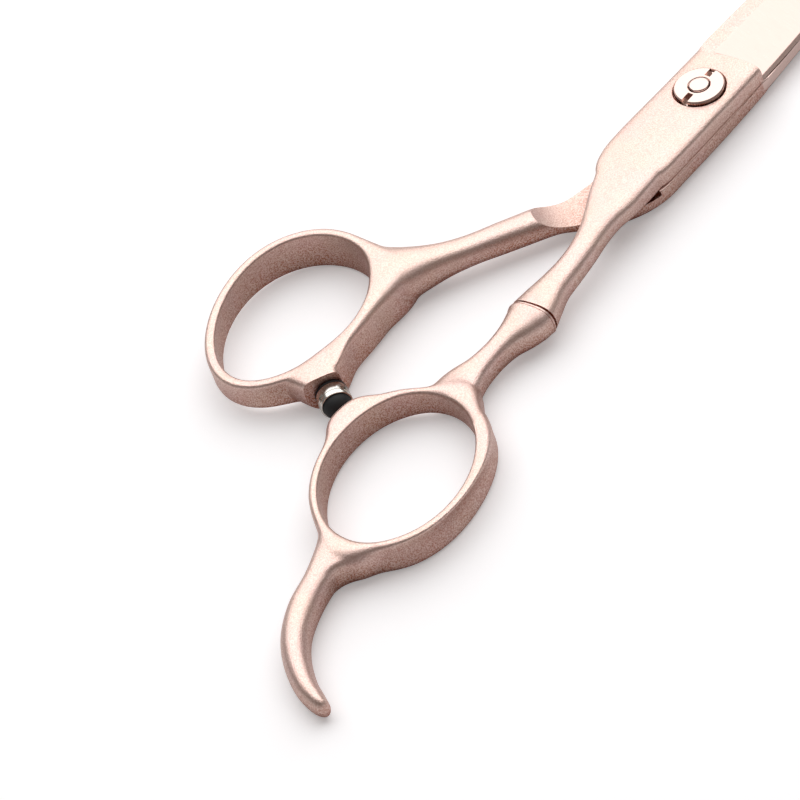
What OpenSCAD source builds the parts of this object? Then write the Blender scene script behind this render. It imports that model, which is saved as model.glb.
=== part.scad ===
// Hair cutting shears: two halves crossing on an adjustable pivot, with a finger rest and a silencer.
// Millimetres. The origin is on the pivot axis at the level the shears lie on, +X runs along the
// blades to the tips, +Y is the thumb side and +Z is up.

/* [Blades] */
// pivot axis to blade tips
blade_reach = 77; // [55:1:100]
// width of each half across the pivot
blade_w = 10.6; // [9:0.2:14]
// thickness of each half at the pivot
half_t = 3.25; // [2.4:0.05:4.5]
// thickness of a blade near its tip
tip_t = 1.3; // [0.8:0.1:2]
// width of the flat strip along the blade spine at the pivot
spine_strip = 2.8; // [1:0.2:5]
// thickness left at the cutting edge
edge_land = 0.25; // [0.1:0.05:0.6]
// depth of the hollow ground in each inner face
hollow_depth = 0.15; // [0.05:0.05:0.4]

/* [Finger half] */
// finger hole, long way across
finger_hole_l = 25.5; // [20:0.2:32]
// finger hole, short way across
finger_hole_w = 20.1; // [17:0.2:26]
// height of the finger ring band
finger_ring_h = 5.5; // [4:0.2:8]
// pivot axis to the middle of the finger hole
finger_reach = 74; // [64:0.5:90]
// length of the finger rest beyond the ring
rest_l = 21; // [14:0.5:32]

/* [Thumb half] */
// thumb hole, long way across
thumb_hole_l = 26.6; // [21:0.2:34]
// thumb hole, short way across
thumb_hole_w = 20.5; // [17:0.2:27]
// height of the thumb ring band at the shank
thumb_ring_h = 6.8; // [5:0.2:9]
// how much nearer the pivot the thumb hole lies than the finger hole
thumb_lead = 15; // [10:0.5:20]

/* [Pivot] */
// diameter of the bolt where the halves turn
bolt_d = 4.0; // [3:0.1:5]
// diameter of the threaded end seen in the nut
thread_d = 3.0; // [2.4:0.1:4]
// diameter of the tension nut
nut_d = 7.2; // [6.4:0.1:9]
// height of the tension nut
nut_h = 1.3; // [1:0.1:2]
// width of the two key slots in the nut
slot_w = 0.95; // [0.6:0.05:1.4]
// diameter of the bolt head
bolt_head_d = 7.4; // [6:0.1:9]

/* [Silencer] */
// outside diameter of the silver sleeve
sleeve_d = 4.6; // [4.2:0.1:5.6]
// length of the silver sleeve
sleeve_l = 2.2; // [1.8:0.1:3.0]
// length of black rubber showing behind the sleeve
pad_back = 0.5; // [0.3:0.1:1.5]

/* [Hidden] */
// gap between the two inner faces
ride_gap = 0.10;
// radial clearance of turning fits
turn_fit = 0.04;
// radial clearance of the nut in its seat
seat_fit = 0.08;
// depth the bolt head stands below the thumb half
head_proud = 0.10;
// heights of the two halves
thumb_z0 = head_proud;
ride_z = thumb_z0 + half_t;
finger_z0 = ride_z + ride_gap;
finger_z1 = finger_z0 + half_t;
finger_mid = (finger_z0 + finger_z1) / 2;
thumb_mid = (thumb_z0 + ride_z) / 2;
// ring band mid heights
finger_ring_z = finger_ring_h / 2;
thumb_ring_z = thumb_ring_h / 2;
// centres and tilts of the two holes
finger_c = [-finger_reach, -4.0];
finger_tilt = 18;
thumb_c = [thumb_lead - finger_reach, 27.5];
thumb_tilt = 9;
thumb_egg = 0.12;
// silencer: where round the thumb hole its boss stands, how far out, and the foot on the boss
foot_at = 235.3;
foot_out = 4.67;
foot = hole_edge(thumb_c, thumb_hole_l, thumb_hole_w, thumb_tilt, thumb_egg, foot_at)
    + foot_out * [cos(-110), sin(-110)];
foot_z = 3.0;
// direction in plan in which the silencer points at the finger ring
foot_dir = -121;
// height of the rubber dome in front of the sleeve
pad_front = 1.9;
// screw that holds the silencer: size, depth in the foot and length; clearance of its tapped hole
screw_d = 1.5;
screw_in = 2.1;
screw_l = 4.0;
screw_fit = 0.05;
// spot face round the foot, and the rubber: behind the sleeve, inside it and in front of it
spot_d = 6.8;
pad_back_d = sleeve_d - 0.1;
pad_core_d = sleeve_d - 1.24;
pad_front_d = sleeve_d - 0.62;
pad_l = pad_back + sleeve_l + pad_front;
// where the dome meets the boss on the finger ring, whose face is turned 27 degrees from it
touch_turn = 27;
touch_k = norm([pad_front_d / 2 * sin(touch_turn), pad_front * cos(touch_turn)]);
touch_s = pad_l - pad_front + pow(pad_front, 2) * cos(touch_turn) / touch_k;
touch_r = pow(pad_front_d / 2, 2) * sin(touch_turn) / touch_k;
touch = [foot[0] + touch_s * cos(foot_dir) - touch_r * sin(foot_dir),
    foot[1] + touch_s * sin(foot_dir) + touch_r * cos(foot_dir)];
// gap left between the silencer and the boss on the finger ring when closed
pad_gap = 0.1;
// where blades are welded to handles; the finger weld is turned square to the neck
finger_weld_x = -43.8;
finger_weld_y = -3.12;
finger_weld_z = finger_mid - 1.55;
finger_weld_turn = 4;
scoop_p = [-29.6, 7.75];
scoop_dir = 147;
// relief ground in the inner face of the thumb half, from its distance behind the pivot on
relief_x = 16.6;
relief = 0.8;
// neck of the finger half, from its weld to just outside the hole
neck_end = -finger_reach + 0.485 * finger_hole_l + 1.3;
neck_low = 2.5;
// plan point at a distance from the finger weld, towards the pivot
function at_weld(d) = [finger_weld_x + d * cos(finger_weld_turn), finger_weld_y + d * sin(finger_weld_turn)];
function neck_x(t) = finger_weld_x + (neck_end - finger_weld_x) * t;
function neck_z(t) = neck_low + (finger_weld_z - neck_low) * pow(1 - t, 2.2);
// shank of the thumb half, from its weld to the thumb ring
shank_end = [thumb_c[0] + 0.481 * thumb_hole_l, thumb_c[1] - 0.39 * thumb_hole_w];
function shank_x(t) = scoop_p[0] + (shank_end[0] - scoop_p[0]) * t;
function shank_y(t) = scoop_p[1] + (shank_end[1] - scoop_p[1]) * t - 0.43 * sin(180 * pow(t, 1.5));
// bevel shoulder near the pivot: arc radius and centre
shoulder_r = 40;
shoulder_c = [-32.8, -4.0];
// parts of the pivot stack
glide_t = 0.6;
glide_d = 7.0;
glide_sink = (glide_t - ride_gap) / 2;
bush_wall = 0.6;
seat_depth = 1.15;
seat_z = finger_z1 - seat_depth;
spring_t = 0.25;
spring_rise = 0.15;
nut_z = seat_z + spring_t + spring_rise + 0.02;
head_h = 0.9;
flat_w = bolt_d * 0.78;
stud_top = nut_z + nut_h + 0.25;
points_round = 28;

// smooth curve through a list of stations, each a list of numbers
function blend(a, b, c, d, t) =
    0.5 * (2 * b + (c - a) * t + (2 * a - 5 * b + 4 * c - d) * t * t + (3 * b - a - 3 * c + d) * t * t * t);
function smooth(list, steps) =
    let (last = len(list) - 1)
    [for (i = [0:last - 1]) for (k = [0:steps - 1])
        blend(list[max(i - 1, 0)], list[i], list[i + 1], list[min(i + 2, last)], k / steps),
     list[last]];
// signed power, and the middle of a closed ring index
function spow(v, p) = sign(v) * pow(abs(v), p);
// one rounded section: station is [x, y, z, half width, half height, upper fullness, lower fullness]
// wall is the fullness on the left hand side of the path, used by the ring holes
function section(s, dir, wall, count) =
    [for (k = [0:count - 1])
        let (
            a = 360 * (k + 0.5) / count,
            n = cos(a) < 0 && wall > 0 ? wall : (sin(a) > 0 ? s[5] : s[6]),
            u = s[3] * spow(cos(a), 2 / n),
            v = s[4] * spow(sin(a), 2 / n)
        )
        [s[0] + u * sin(dir), s[1] - u * cos(dir), s[2] + v]];
function heading(a, b) = atan2(b[1] - a[1], b[0] - a[0]);

// solid with a rounded section that follows a path of stations
module sweep_along(stations, wall = 0, closed = false) {
    count = points_round;
    n = len(stations);
    rings = [for (i = [0:n - 1])
        let (
            before = closed ? stations[(i + n - 1) % n] : stations[max(i - 1, 0)],
            after = closed ? stations[(i + 1) % n] : stations[min(i + 1, n - 1)]
        )
        each section(stations[i], heading(before, after), wall, count)];
    last = closed ? n - 1 : n - 2;
    sides = [for (i = [0:last]) for (k = [0:count - 1])
        let (j = (i + 1) % n, m = (k + 1) % count)
        [i * count + k, i * count + m, j * count + m, j * count + k]];
    caps = closed ? [] : [
        [for (k = [count - 1:-1:0]) k],
        [for (k = [0:count - 1]) (n - 1) * count + k]
    ];
    polyhedron(rings, concat(sides, caps), convexity = 8);
}

// bell shaped swelling used where a ring meets its shank, boss or rest
function swell(a, at, high, wide) =
    let (d = ((a - at + 540) % 360) - 180)
    high * exp(-pow(d / wide, 2));
// the same with a flatter top
function bump(a, at, high, wide) =
    let (d = ((a - at + 540) % 360) - 180)
    high * exp(-pow(abs(d) / wide, 3));
function hole_edge(c, l, w, tilt, egg, a) =
    let (u = l / 2 * cos(a), v = w / 2 * sin(a) * (1 + egg * cos(a)))
    [c[0] + u * cos(tilt) - v * sin(tilt), c[1] + u * sin(tilt) + v * cos(tilt)];

// boss on the finger ring: where round the hole it stands and how far it reaches to meet the silencer
boss_u = (touch[0] - finger_c[0]) * cos(finger_tilt) + (touch[1] - finger_c[1]) * sin(finger_tilt);
boss_v = (touch[1] - finger_c[1]) * cos(finger_tilt) - (touch[0] - finger_c[0]) * sin(finger_tilt);
boss_at = atan2(boss_v / finger_hole_w, boss_u / finger_hole_l) - 3;
boss_foot = hole_edge(finger_c, finger_hole_l, finger_hole_w, finger_tilt, 0, boss_at);
boss_rise = norm(touch - boss_foot) - pad_gap;

function finger_band_w(a) =
    1.3 + swell(a, 344, 3.0, 14) + bump(a, boss_at + 4.5, boss_rise - 1.47, 17.8)
    + swell(a, 168, 1.6, 18) + swell(a, 303, 1.2, 32) + swell(a, boss_at - 16, 0.45, 17);
function thumb_band_w(a) =
    1.55 + swell(a, 313, 4.0, 19) + swell(a, 239, 3.0, 14) + swell(a, 275, 0.3, 30);
function finger_band_h(a) = finger_ring_h / 2 * (0.92 + 0.08 * cos(a - 160));
function thumb_band_h(a) = thumb_ring_h / 2 * (0.82 + 0.18 * cos(a - 335)) + swell(a, 239, 0.45, 16);

// band of a ring as a closed list of stations round its hole
function band(c, l, w, tilt, egg, z, steps, thumb) =
    [for (k = [0:steps - 1])
        let (
            a = 360 * k / steps,
            p = hole_edge(c, l, w, tilt, egg, a),
            q = hole_edge(c, l, w, tilt, egg, a + 0.5),
            d = heading(p, q),
            t = thumb ? thumb_band_w(a) : finger_band_w(a),
            h = thumb ? thumb_band_h(a) : finger_band_h(a)
        )
        [p[0] + t / 2 * sin(d), p[1] - t / 2 * cos(d), z, t / 2, h, 3.2, 2.4]];

// flat half of the shears with a bevelled, hollow ground blade; inner face on z = 0, edge at -Y
module blade_body(spine_cut) {
    full = half_t;
    w = blade_w / 2;
    reach = blade_reach;
    // [x, spine y, edge y, ridge y, thickness]
    rows = smooth([
        [1, w - 1, -w + 0.5, w - spine_strip, full],
        [reach * 0.08, w - 0.15, -w + 0.4, w - spine_strip - 0.1, full],
        [reach * 0.22, w - 0.5, -w + 0.5, w - spine_strip - 0.4, full],
        [reach * 0.45, w * 0.74, -w * 0.77, w * 0.74 - spine_strip * 0.75, full * 0.88],
        [reach * 0.68, w * 0.50, -w * 0.58, w * 0.5 - spine_strip * 0.6, full * 0.68],
        [reach * 0.87, w * 0.20, -w * 0.34, w * 0.2 - spine_strip * 0.35, tip_t * 1.25],
        [reach * 0.97, -w * 0.02, -w * 0.18, -w * 0.02 - 0.45, tip_t],
        [reach, -w * 0.09, -w * 0.125, -w * 0.1, tip_t * 0.55]
    ], 6);
    pts = [for (r = rows)
        let (m = (r[1] + r[2]) / 2, dip = hollow_depth * min(1, (r[1] - r[2]) / w))
        each [
            [r[0], r[2], 0],
            [r[0], r[2], edge_land],
            [r[0], r[3], r[4]],
            [r[0], r[1] - spine_cut * 0.7 * r[4] / full, r[4]],
            [r[0], r[1], r[4] * (1 - spine_cut / full)],
            [r[0], r[1], 0],
            [r[0], m + (r[1] - r[2]) * 0.25, r[0] > 8 ? dip * 0.75 : 0],
            [r[0], m, r[0] > 8 ? dip : 0],
            [r[0], m - (r[1] - r[2]) * 0.25, r[0] > 8 ? dip * 0.75 : 0]
        ]];
    n = len(rows);
    c = 9;
    sides = [for (i = [0:n - 2]) for (k = [0:c - 1])
        [i * c + k, i * c + (k + 1) % c, (i + 1) * c + (k + 1) % c, (i + 1) * c + k]];
    caps = [[for (k = [c - 1:-1:0]) k], [for (k = [0:c - 1]) (n - 1) * c + k]];
    polyhedron(pts, concat(sides, caps), convexity = 6);
}

// keeps the plate of a half up to its curved bevel shoulder
module shoulder_trim() {
    translate([-70, -20, -2]) cube([70, 40, 14]);
    translate([shoulder_c[0], shoulder_c[1], -2]) cylinder(r = shoulder_r, h = 14, $fn = 240);
}

// half space on one side of the thumb weld plane: side 1 is the ring, side -1 the pivot
module weld_side(side) {
    translate([scoop_p[0], scoop_p[1], -2]) rotate([0, 0, side > 0 ? scoop_dir : scoop_dir + 180])
        translate([0, -60, 0]) cube([130, 120, 20]);
}

// half space on one side of the finger weld plane: side 1 is the pivot, side -1 the ring
module finger_weld_side(side) {
    translate([finger_weld_x, finger_weld_y, -2]) rotate([0, 0, finger_weld_turn])
        translate([side > 0 ? 0 : -90, -30, 0]) cube([90, 60, 14]);
}

// joins its children into one mesh
module fuse() {
    resize([0, 0, 0]) union() children();
}

// points of the silencer's boss: s back from its end face, t to the side away from the pivot
function boss_x(s, t) = foot[0] - s * cos(foot_dir) + t * sin(foot_dir);
function boss_y(s, t) = foot[1] - s * sin(foot_dir) - t * cos(foot_dir);

// moves to the foot of the silencer, +Z pointing at the finger ring
module at_foot() {
    translate([foot[0], foot[1], foot_z]) rotate([0, 0, foot_dir]) rotate([0, 90, 0]) children();
}

// everything above the inner face of the thumb half, its relief, and the curved scoop where its shank rises
module scoop_cut() {
    scoop_r = 9;
    run = 6.6;
    translate([scoop_p[0], scoop_p[1], ride_z]) rotate([0, 0, scoop_dir]) {
        translate([-run, 20, scoop_r - relief]) rotate([90, 0, 0]) cylinder(r = scoop_r, h = 40, $fn = 96);
        translate([-80, -30, 0]) cube([80 - run, 60, 20]);
    }
    intersection() {
        translate([scoop_p[0], scoop_p[1], ride_z - relief]) rotate([0, 0, scoop_dir])
            translate([-80, -30, 0]) cube([80 - run, 60, 20]);
        translate([-100, -50, 0]) cube([100 - relief_x, 100, 20]);
    }
}

module finger_blade() {
    color("#E2BDAE")
    difference() {
        fuse() {
            intersection() {
                sweep_along(smooth([
                    [14, -0.15, finger_mid, blade_w / 2 - 0.15, half_t / 2, 6, 12],
                    [0, 0.1, finger_mid, blade_w / 2, half_t / 2, 6, 12],
                    [-12, 0.4, finger_mid, blade_w / 2 + 0.1, half_t / 2, 6, 12],
                    [-16, 0.3, finger_mid, blade_w / 2 - 0.2, half_t / 2, 6, 12],
                    [-18.8, -0.4, finger_mid, blade_w / 2 - 1, half_t / 2, 6, 10],
                    [-22.8, -1.15, finger_mid, 3.5, half_t / 2, 4.5, 6],
                    [-25.7, -1.65, finger_mid - 0.02, 2.7, half_t / 2, 3.4, 4],
                    [-28.6, -2.2, finger_mid - 0.3, 2.15, 1.72, 2.8, 3],
                    [-31.9, -2.65, finger_mid - 0.7, 2.0, 1.8, 2.6, 2.6],
                    [-35.2, -2.75, finger_mid - 1.05, 2.05, 1.85, 2.6, 2.6],
                    [-38.3, -2.7, finger_mid - 1.25, 2.3, 1.98, 2.6, 2.6],
                    [-41.0, -2.85, finger_mid - 1.4, 2.9, 2.2, 2.6, 2.6],
                    [at_weld(0.45)[0], at_weld(0.45)[1], finger_weld_z + 0.03, 3.42, 2.45, 2.6, 2.6]
                ], 4));
                shoulder_trim();
                finger_weld_side(1);
            }
            sweep_along([
                [at_weld(0.46)[0], at_weld(0.46)[1], finger_weld_z + 0.03, 3.4, 2.43, 2.6, 2.6],
                [finger_weld_x, finger_weld_y, finger_weld_z, 2.95, 2.1, 2.6, 2.6]
            ]);
            translate([0, 0, finger_z0]) blade_body(0.35);
        }
        // bore for the bushing, seat for the nut and spring, and half the glide washer recess
        translate([0, 0, -1]) cylinder(d = bolt_d + 2 * turn_fit + 2 * bush_wall, h = 12, $fn = 72);
        translate([0, 0, seat_z]) cylinder(d = nut_d + 2 * seat_fit, h = 4, $fn = 96);
        translate([0, 0, finger_z0 - 1]) cylinder(d = glide_d + 2 * turn_fit, h = 1 + glide_sink, $fn = 96);
    }
}

module finger_handle() {
    f = rest_l / 21;
    rest_x = -finger_reach - finger_hole_l / 2 * 0.965 - 1.2;
    color("#DDB5A5")
    fuse() {
        sweep_along(
            band(finger_c, finger_hole_l, finger_hole_w, finger_tilt, 0, finger_ring_z, 72, false),
            3.6, true);
        // knuckle and neck, with half the groove at the weld
        intersection() {
            finger_weld_side(-1);
            union() {
                sweep_along([
                    [at_weld(0.2)[0], at_weld(0.2)[1], finger_weld_z, 2.9, 1.95, 2.6, 2.6],
                    [neck_x(0.03), -3.02, neck_z(0.03), 3.4, 2.58, 2.6, 2.6]
                ]);
                sweep_along(smooth([
                    [neck_x(0.029), -3.02, neck_z(0.029), 3.4, 2.58, 2.6, 2.6],
                    [neck_x(0.067), -2.98, neck_z(0.067), 3.25, 2.54, 2.7, 2.6],
                    [neck_x(0.16), -2.8, neck_z(0.16), 2.75, 2.4, 2.8, 2.6],
                    [neck_x(0.30), -2.4, neck_z(0.30), 1.95, 2.15, 2.8, 2.6],
                    [neck_x(0.46), -2.1, neck_z(0.46), 1.7, 2.02, 2.8, 2.6],
                    [neck_x(0.64), -1.85, neck_z(0.64), 1.97, 2.05, 3, 2.6],
                    [neck_x(0.79), -1.62, neck_z(0.79), 2.77, 2.1, 3.2, 2.6],
                    [neck_x(0.91), -1.45, neck_z(0.91), 3.5, 2.15, 3.4, 2.6],
                    [neck_end, -1.5, neck_low, 4.1, 2.2, 3.4, 2.6]
                ], 4));
            }
        }
        // finger rest
        sweep_along(smooth([
            [rest_x + 0.1, -4.6, 2.6, 2.75, 2.5, 3, 2.4],
            [rest_x - 2.3 * f, -5.1, 2.5, 2.3, 2.4, 2.8, 2.4],
            [rest_x - 5.6 * f, -5.75, 2.45, 1.9, 2.3, 2.6, 2.4],
            [rest_x - 9.6 * f, -6.7, 2.4, 2.05, 2.3, 2.4, 2.4],
            [rest_x - 13.4 * f, -8.6, 2.35, 1.95, 2.25, 2.2, 2.2],
            [rest_x - 16.3 * f, -11.2, 2.25, 1.78, 2.15, 2.1, 2.2],
            [rest_x - 18.6 * f, -14.5, 2.1, 1.55, 2.0, 2.1, 2.1],
            [rest_x - 19.7 * f, -17.3, 1.95, 1.25, 1.85, 2.1, 2.1],
            [rest_x - 20.0 * f, -18.9, 1.9, 0.8, 1.4, 2, 2],
            [rest_x - 20.1 * f, -19.35, 1.9, 0.12, 0.3, 2, 2]
        ], 4));
    }
}

module thumb_blade() {
    color("#E2BDAE")
    difference() {
        fuse() difference() {
            union() {
                intersection() {
                    weld_side(-1);
                    sweep_along(smooth([
                        [14, 0.25, thumb_mid, blade_w / 2 - 0.25, half_t / 2, 12, 3],
                        [0, 0.05, thumb_mid, blade_w / 2 - 0.15, half_t / 2, 12, 3],
                        [-11, 0.15, thumb_mid, blade_w / 2 - 0.2, half_t / 2, 12, 3],
                        [-15.5, 0.45, thumb_mid, blade_w / 2 - 0.15, half_t / 2, 12, 3],
                        [-19.2, 1.65, thumb_mid, blade_w / 2 - 0.7, half_t / 2, 10, 3],
                        [-22.3, 3.35, thumb_mid, 3.55, half_t / 2, 8, 3],
                        [-24.9, 4.9, thumb_mid + 0.5, 2.75, half_t / 2 + 0.15, 4, 2.6],
                        [-27.2, 6.3, thumb_mid + 1.2, 2.4, 1.8, 2.8, 2.5],
                        [scoop_p[0], scoop_p[1], thumb_mid + 1.55, 2.2, 2.05, 2.6, 2.5],
                        [scoop_p[0] - 1, scoop_p[1] + 0.65, thumb_mid + 1.55, 2.2, 2.05, 2.6, 2.5]
                    ], 4));
                    shoulder_trim();
                }
                translate([0, 0, ride_z]) rotate([180, 0, 0]) blade_body(1.7);
            }
            scoop_cut();
        }
        // keyed bore for the bolt, counterbore for its head and half the glide washer recess
        intersection() {
            translate([0, 0, -1]) cylinder(d = bolt_d + 2 * turn_fit, h = 8, $fn = 72);
            translate([-4, -flat_w / 2 - turn_fit, -1]) cube([8, flat_w + 2 * turn_fit, 8]);
        }
        translate([0, 0, -1]) cylinder(d = bolt_head_d + 2 * turn_fit, h = 1 + head_h, $fn = 96);
        translate([0, 0, ride_z - glide_sink]) cylinder(d = glide_d + 2 * turn_fit, h = 3, $fn = 96);
    }
}

module thumb_handle() {
    color("#DDB5A5")
    difference() {
        fuse() {
            sweep_along(
                band(thumb_c, thumb_hole_l, thumb_hole_w, thumb_tilt, thumb_egg, thumb_ring_z, 72, true),
                3.6, true);
            // boss that carries the silencer
            sweep_along(smooth([
                [boss_x(4.2, 1.35), boss_y(4.2, 1.35), thumb_ring_z, 4.2, 2.4, 3.6, 2.4],
                [boss_x(2.8, 1.15), boss_y(2.8, 1.15), thumb_ring_z, 3.65, 2.85, 4.2, 2.4],
                [boss_x(1.4, 0.9), boss_y(1.4, 0.9), thumb_ring_z + 0.05, 3.05, 2.95, 4.8, 2.3],
                [boss_x(0, 0.5), boss_y(0, 0.5), thumb_ring_z + 0.1, 2.5, 2.95, 5, 2.2]
            ], 3));
            intersection() {
                weld_side(1);
                sweep_along(smooth([
                    [scoop_p[0] + 0.6, scoop_p[1] - 0.4, thumb_mid + 1.55, 2.2, 2.05, 2.6, 2.5],
                    [scoop_p[0], scoop_p[1], thumb_mid + 1.55, 2.2, 2.05, 2.6, 2.5],
                    [shank_x(0.24), shank_y(0.24), thumb_mid + 1.6, 2.1, 2.05, 2.6, 2.5],
                    [shank_x(0.46), shank_y(0.46), thumb_mid + 1.7, 2.0, 2.0, 2.6, 2.5],
                    [shank_x(0.645), shank_y(0.645), thumb_mid + 1.75, 2.2, 2.3, 2.7, 2.5],
                    [shank_x(0.795), shank_y(0.795), thumb_ring_z + 0.05, 2.85, 2.7, 2.8, 2.5],
                    [shank_x(0.92), shank_y(0.92), thumb_ring_z, 3.8, 3.0, 3, 2.5],
                    [shank_end[0], shank_end[1], thumb_ring_z, 4.5, 3.2, 3, 2.5]
                ], 4));
            }
        }
        // spot face and tapped hole for the silencer
        at_foot() cylinder(d = spot_d, h = 10, $fn = 72);
        at_foot() translate([0, 0, -screw_in - 0.1]) cylinder(d = screw_d + 2 * screw_fit, h = 5, $fn = 36);
    }
}

module pivot_bolt() {
    color("#D9C9BF")
    union() {
        cylinder(d = bolt_head_d, h = head_h, $fn = 96);
        intersection() {
            translate([0, 0, head_h - 0.1]) cylinder(d = bolt_d, h = ride_z - head_h, $fn = 72);
            translate([-4, -flat_w / 2, 0]) cube([8, flat_w, 6]);
        }
        translate([0, 0, ride_z - 0.22]) cylinder(d = bolt_d, h = seat_z - ride_z + 0.17, $fn = 72);
        translate([0, 0, seat_z - 0.1]) cylinder(d = thread_d, h = stud_top - seat_z - 0.25, $fn = 60);
        translate([0, 0, stud_top - 0.36]) cylinder(d1 = thread_d, d2 = thread_d * 0.72, h = 0.36, $fn = 60);
    }
}

module pivot_bushing() {
    bush_d = bolt_d + 2 * bush_wall + 2 * turn_fit - 0.02;
    color("#B9A46C")
    translate([0, 0, finger_z0 + glide_sink + 0.05])
    difference() {
        cylinder(d = bush_d, h = seat_z - finger_z0 - glide_sink - 0.1, $fn = 72);
        translate([0, 0, -1]) cylinder(d = bolt_d + 2 * turn_fit, h = 8, $fn = 72);
    }
}

module glide_washer() {
    color("#ECE8DF")
    translate([0, 0, ride_z - glide_sink + 0.01])
    difference() {
        cylinder(d = glide_d, h = glide_t - 0.02, $fn = 96);
        translate([0, 0, -1]) cylinder(d = bolt_d + 0.3, h = 3, $fn = 72);
    }
}

// dished spring that keeps the halves together under the nut
module tension_spring() {
    color("#C9CBD0")
    translate([0, 0, seat_z + 0.005])
    rotate_extrude($fn = 96)
    polygon([
        [thread_d / 2 + 0.25, spring_rise],
        [nut_d / 2 - 0.3, 0],
        [nut_d / 2 - 0.3, spring_t],
        [thread_d / 2 + 0.25, spring_t + spring_rise]
    ]);
}

module tension_nut() {
    color("#E7CBBE")
    translate([0, 0, nut_z])
    difference() {
        union() {
            cylinder(d = nut_d, h = nut_h - 0.15, $fn = 96);
            translate([0, 0, nut_h - 0.16]) cylinder(d1 = nut_d, d2 = nut_d - 0.3, h = 0.16, $fn = 96);
        }
        translate([0, 0, -1]) cylinder(d = thread_d + 0.1, h = 4, $fn = 60);
        for (side = [0, 180])
            rotate([0, 0, side])
            translate([thread_d / 2 + 0.45, -slot_w / 2, nut_h - 0.8])
            cube([nut_d, slot_w, 2]);
    }
}

module silencer_screw() {
    color("#C8C8CC")
    at_foot() translate([0, 0, -screw_in]) cylinder(d = screw_d, h = screw_l, $fn = 36);
}

module silencer_pad() {
    color("#1C1C1F")
    at_foot()
    difference() {
        union() {
            translate([0, 0, 0.02]) cylinder(d = pad_back_d, h = pad_back - 0.02, $fn = 60);
            cylinder(d = pad_core_d, h = pad_l - pad_front * (1 - sin(30)), $fn = 60);
            cylinder(d = pad_front_d * cos(72), h = pad_l - pad_front * (1 - sin(68)), $fn = 60);
            translate([0, 0, pad_l - pad_front - 0.5]) cylinder(d = pad_front_d, h = 0.5, $fn = 60);
            // dome
            for (k = [0:4])
                translate([0, 0, pad_l - pad_front * (1 - sin(16 * k))])
                cylinder(d1 = pad_front_d * cos(16 * k), d2 = pad_front_d * cos(16 * (k + 1)),
                    h = pad_front * (sin(16 * (k + 1)) - sin(16 * k)), $fn = 60);
        }
        translate([0, 0, -1]) cylinder(d = screw_d, h = 1 + screw_l - screw_in + 0.1, $fn = 36);
    }
}

module silencer_sleeve() {
    color("#D6D6D8")
    at_foot() translate([0, 0, pad_back])
    difference() {
        cylinder(d = sleeve_d, h = sleeve_l, $fn = 96);
        translate([0, 0, -1]) cylinder(d = sleeve_d - 1.2, h = 9, $fn = 60);
        translate([0, 0, sleeve_l - 0.5]) cylinder(d = sleeve_d - 0.58, h = 2, $fn = 60);
        // wrench notches in the rim
        for (k = [0:3])
            rotate([0, 0, 45 + 90 * k])
            translate([sleeve_d / 2 - 0.9, -0.45, sleeve_l - 1.25])
            cube([2, 0.9, 0.8]);
    }
}

finger_blade();
finger_handle();
thumb_blade();
thumb_handle();
pivot_bolt();
pivot_bushing();
glide_washer();
tension_spring();
tension_nut();
silencer_screw();
silencer_pad();
silencer_sleeve();
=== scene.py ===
"""Hair cutting shears: smooth forged halves, pivot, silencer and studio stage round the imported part."""

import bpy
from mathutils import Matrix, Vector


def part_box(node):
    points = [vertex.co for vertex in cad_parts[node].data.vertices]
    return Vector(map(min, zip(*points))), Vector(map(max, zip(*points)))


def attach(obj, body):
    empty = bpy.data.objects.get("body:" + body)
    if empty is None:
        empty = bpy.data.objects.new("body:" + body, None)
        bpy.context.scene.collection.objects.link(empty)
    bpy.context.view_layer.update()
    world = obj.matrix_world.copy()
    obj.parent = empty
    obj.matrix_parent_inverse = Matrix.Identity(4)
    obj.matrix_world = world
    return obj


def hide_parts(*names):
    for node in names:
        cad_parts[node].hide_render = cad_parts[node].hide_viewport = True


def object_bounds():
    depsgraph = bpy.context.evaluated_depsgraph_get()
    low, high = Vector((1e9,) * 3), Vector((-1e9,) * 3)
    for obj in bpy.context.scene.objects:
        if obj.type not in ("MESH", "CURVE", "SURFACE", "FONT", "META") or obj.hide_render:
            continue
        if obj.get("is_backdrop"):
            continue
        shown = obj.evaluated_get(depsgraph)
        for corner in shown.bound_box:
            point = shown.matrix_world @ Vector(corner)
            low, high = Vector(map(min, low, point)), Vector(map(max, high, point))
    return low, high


bl_info = {
    "name": "Hair Cutting Shears",
    "version": (1, 0, 0),
    "blender": (4, 5, 0),
    "location": "View3D > Sidebar > Shears",
    "description": "Builds the visual model of a pair of offset-handle hair cutting shears",
    "category": "Object",
}

import math

import bpy
import numpy as np
from bpy.props import FloatProperty, FloatVectorProperty, PointerProperty
from mathutils import Matrix, Vector

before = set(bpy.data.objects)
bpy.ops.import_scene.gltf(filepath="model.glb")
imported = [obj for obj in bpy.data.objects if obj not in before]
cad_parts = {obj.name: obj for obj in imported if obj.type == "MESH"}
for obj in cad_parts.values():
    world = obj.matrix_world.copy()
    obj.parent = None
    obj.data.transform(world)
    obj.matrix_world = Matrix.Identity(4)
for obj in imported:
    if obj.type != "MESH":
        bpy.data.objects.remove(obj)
CAD_BOUNDS = [list(corner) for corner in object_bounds()]
MM = 0.001
VOXEL = 0.14  # finest width kept where castings are melted together, in millimetres


# ---------------------------------------------------------------- sizes and colours


def length(name, text, default):
    """A size in metres, shown as a length."""
    return FloatProperty(name=name, description=text, default=default, min=0.0, unit="LENGTH")


def colour(name, text, default):
    """A colour kept as linear values, given as sRGB hex."""
    return FloatVectorProperty(
        name=name, description=text, default=linear(default), size=3, min=0.0, max=1.0, subtype="COLOR"
    )


def linear(text):
    """sRGB hex text to linear red, green and blue."""
    values = [int(text[i : i + 2], 16) / 255 for i in (1, 3, 5)]
    return tuple(v / 12.92 if v <= 0.04045 else ((v + 0.055) / 1.055) ** 2.4 for v in values)


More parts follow.
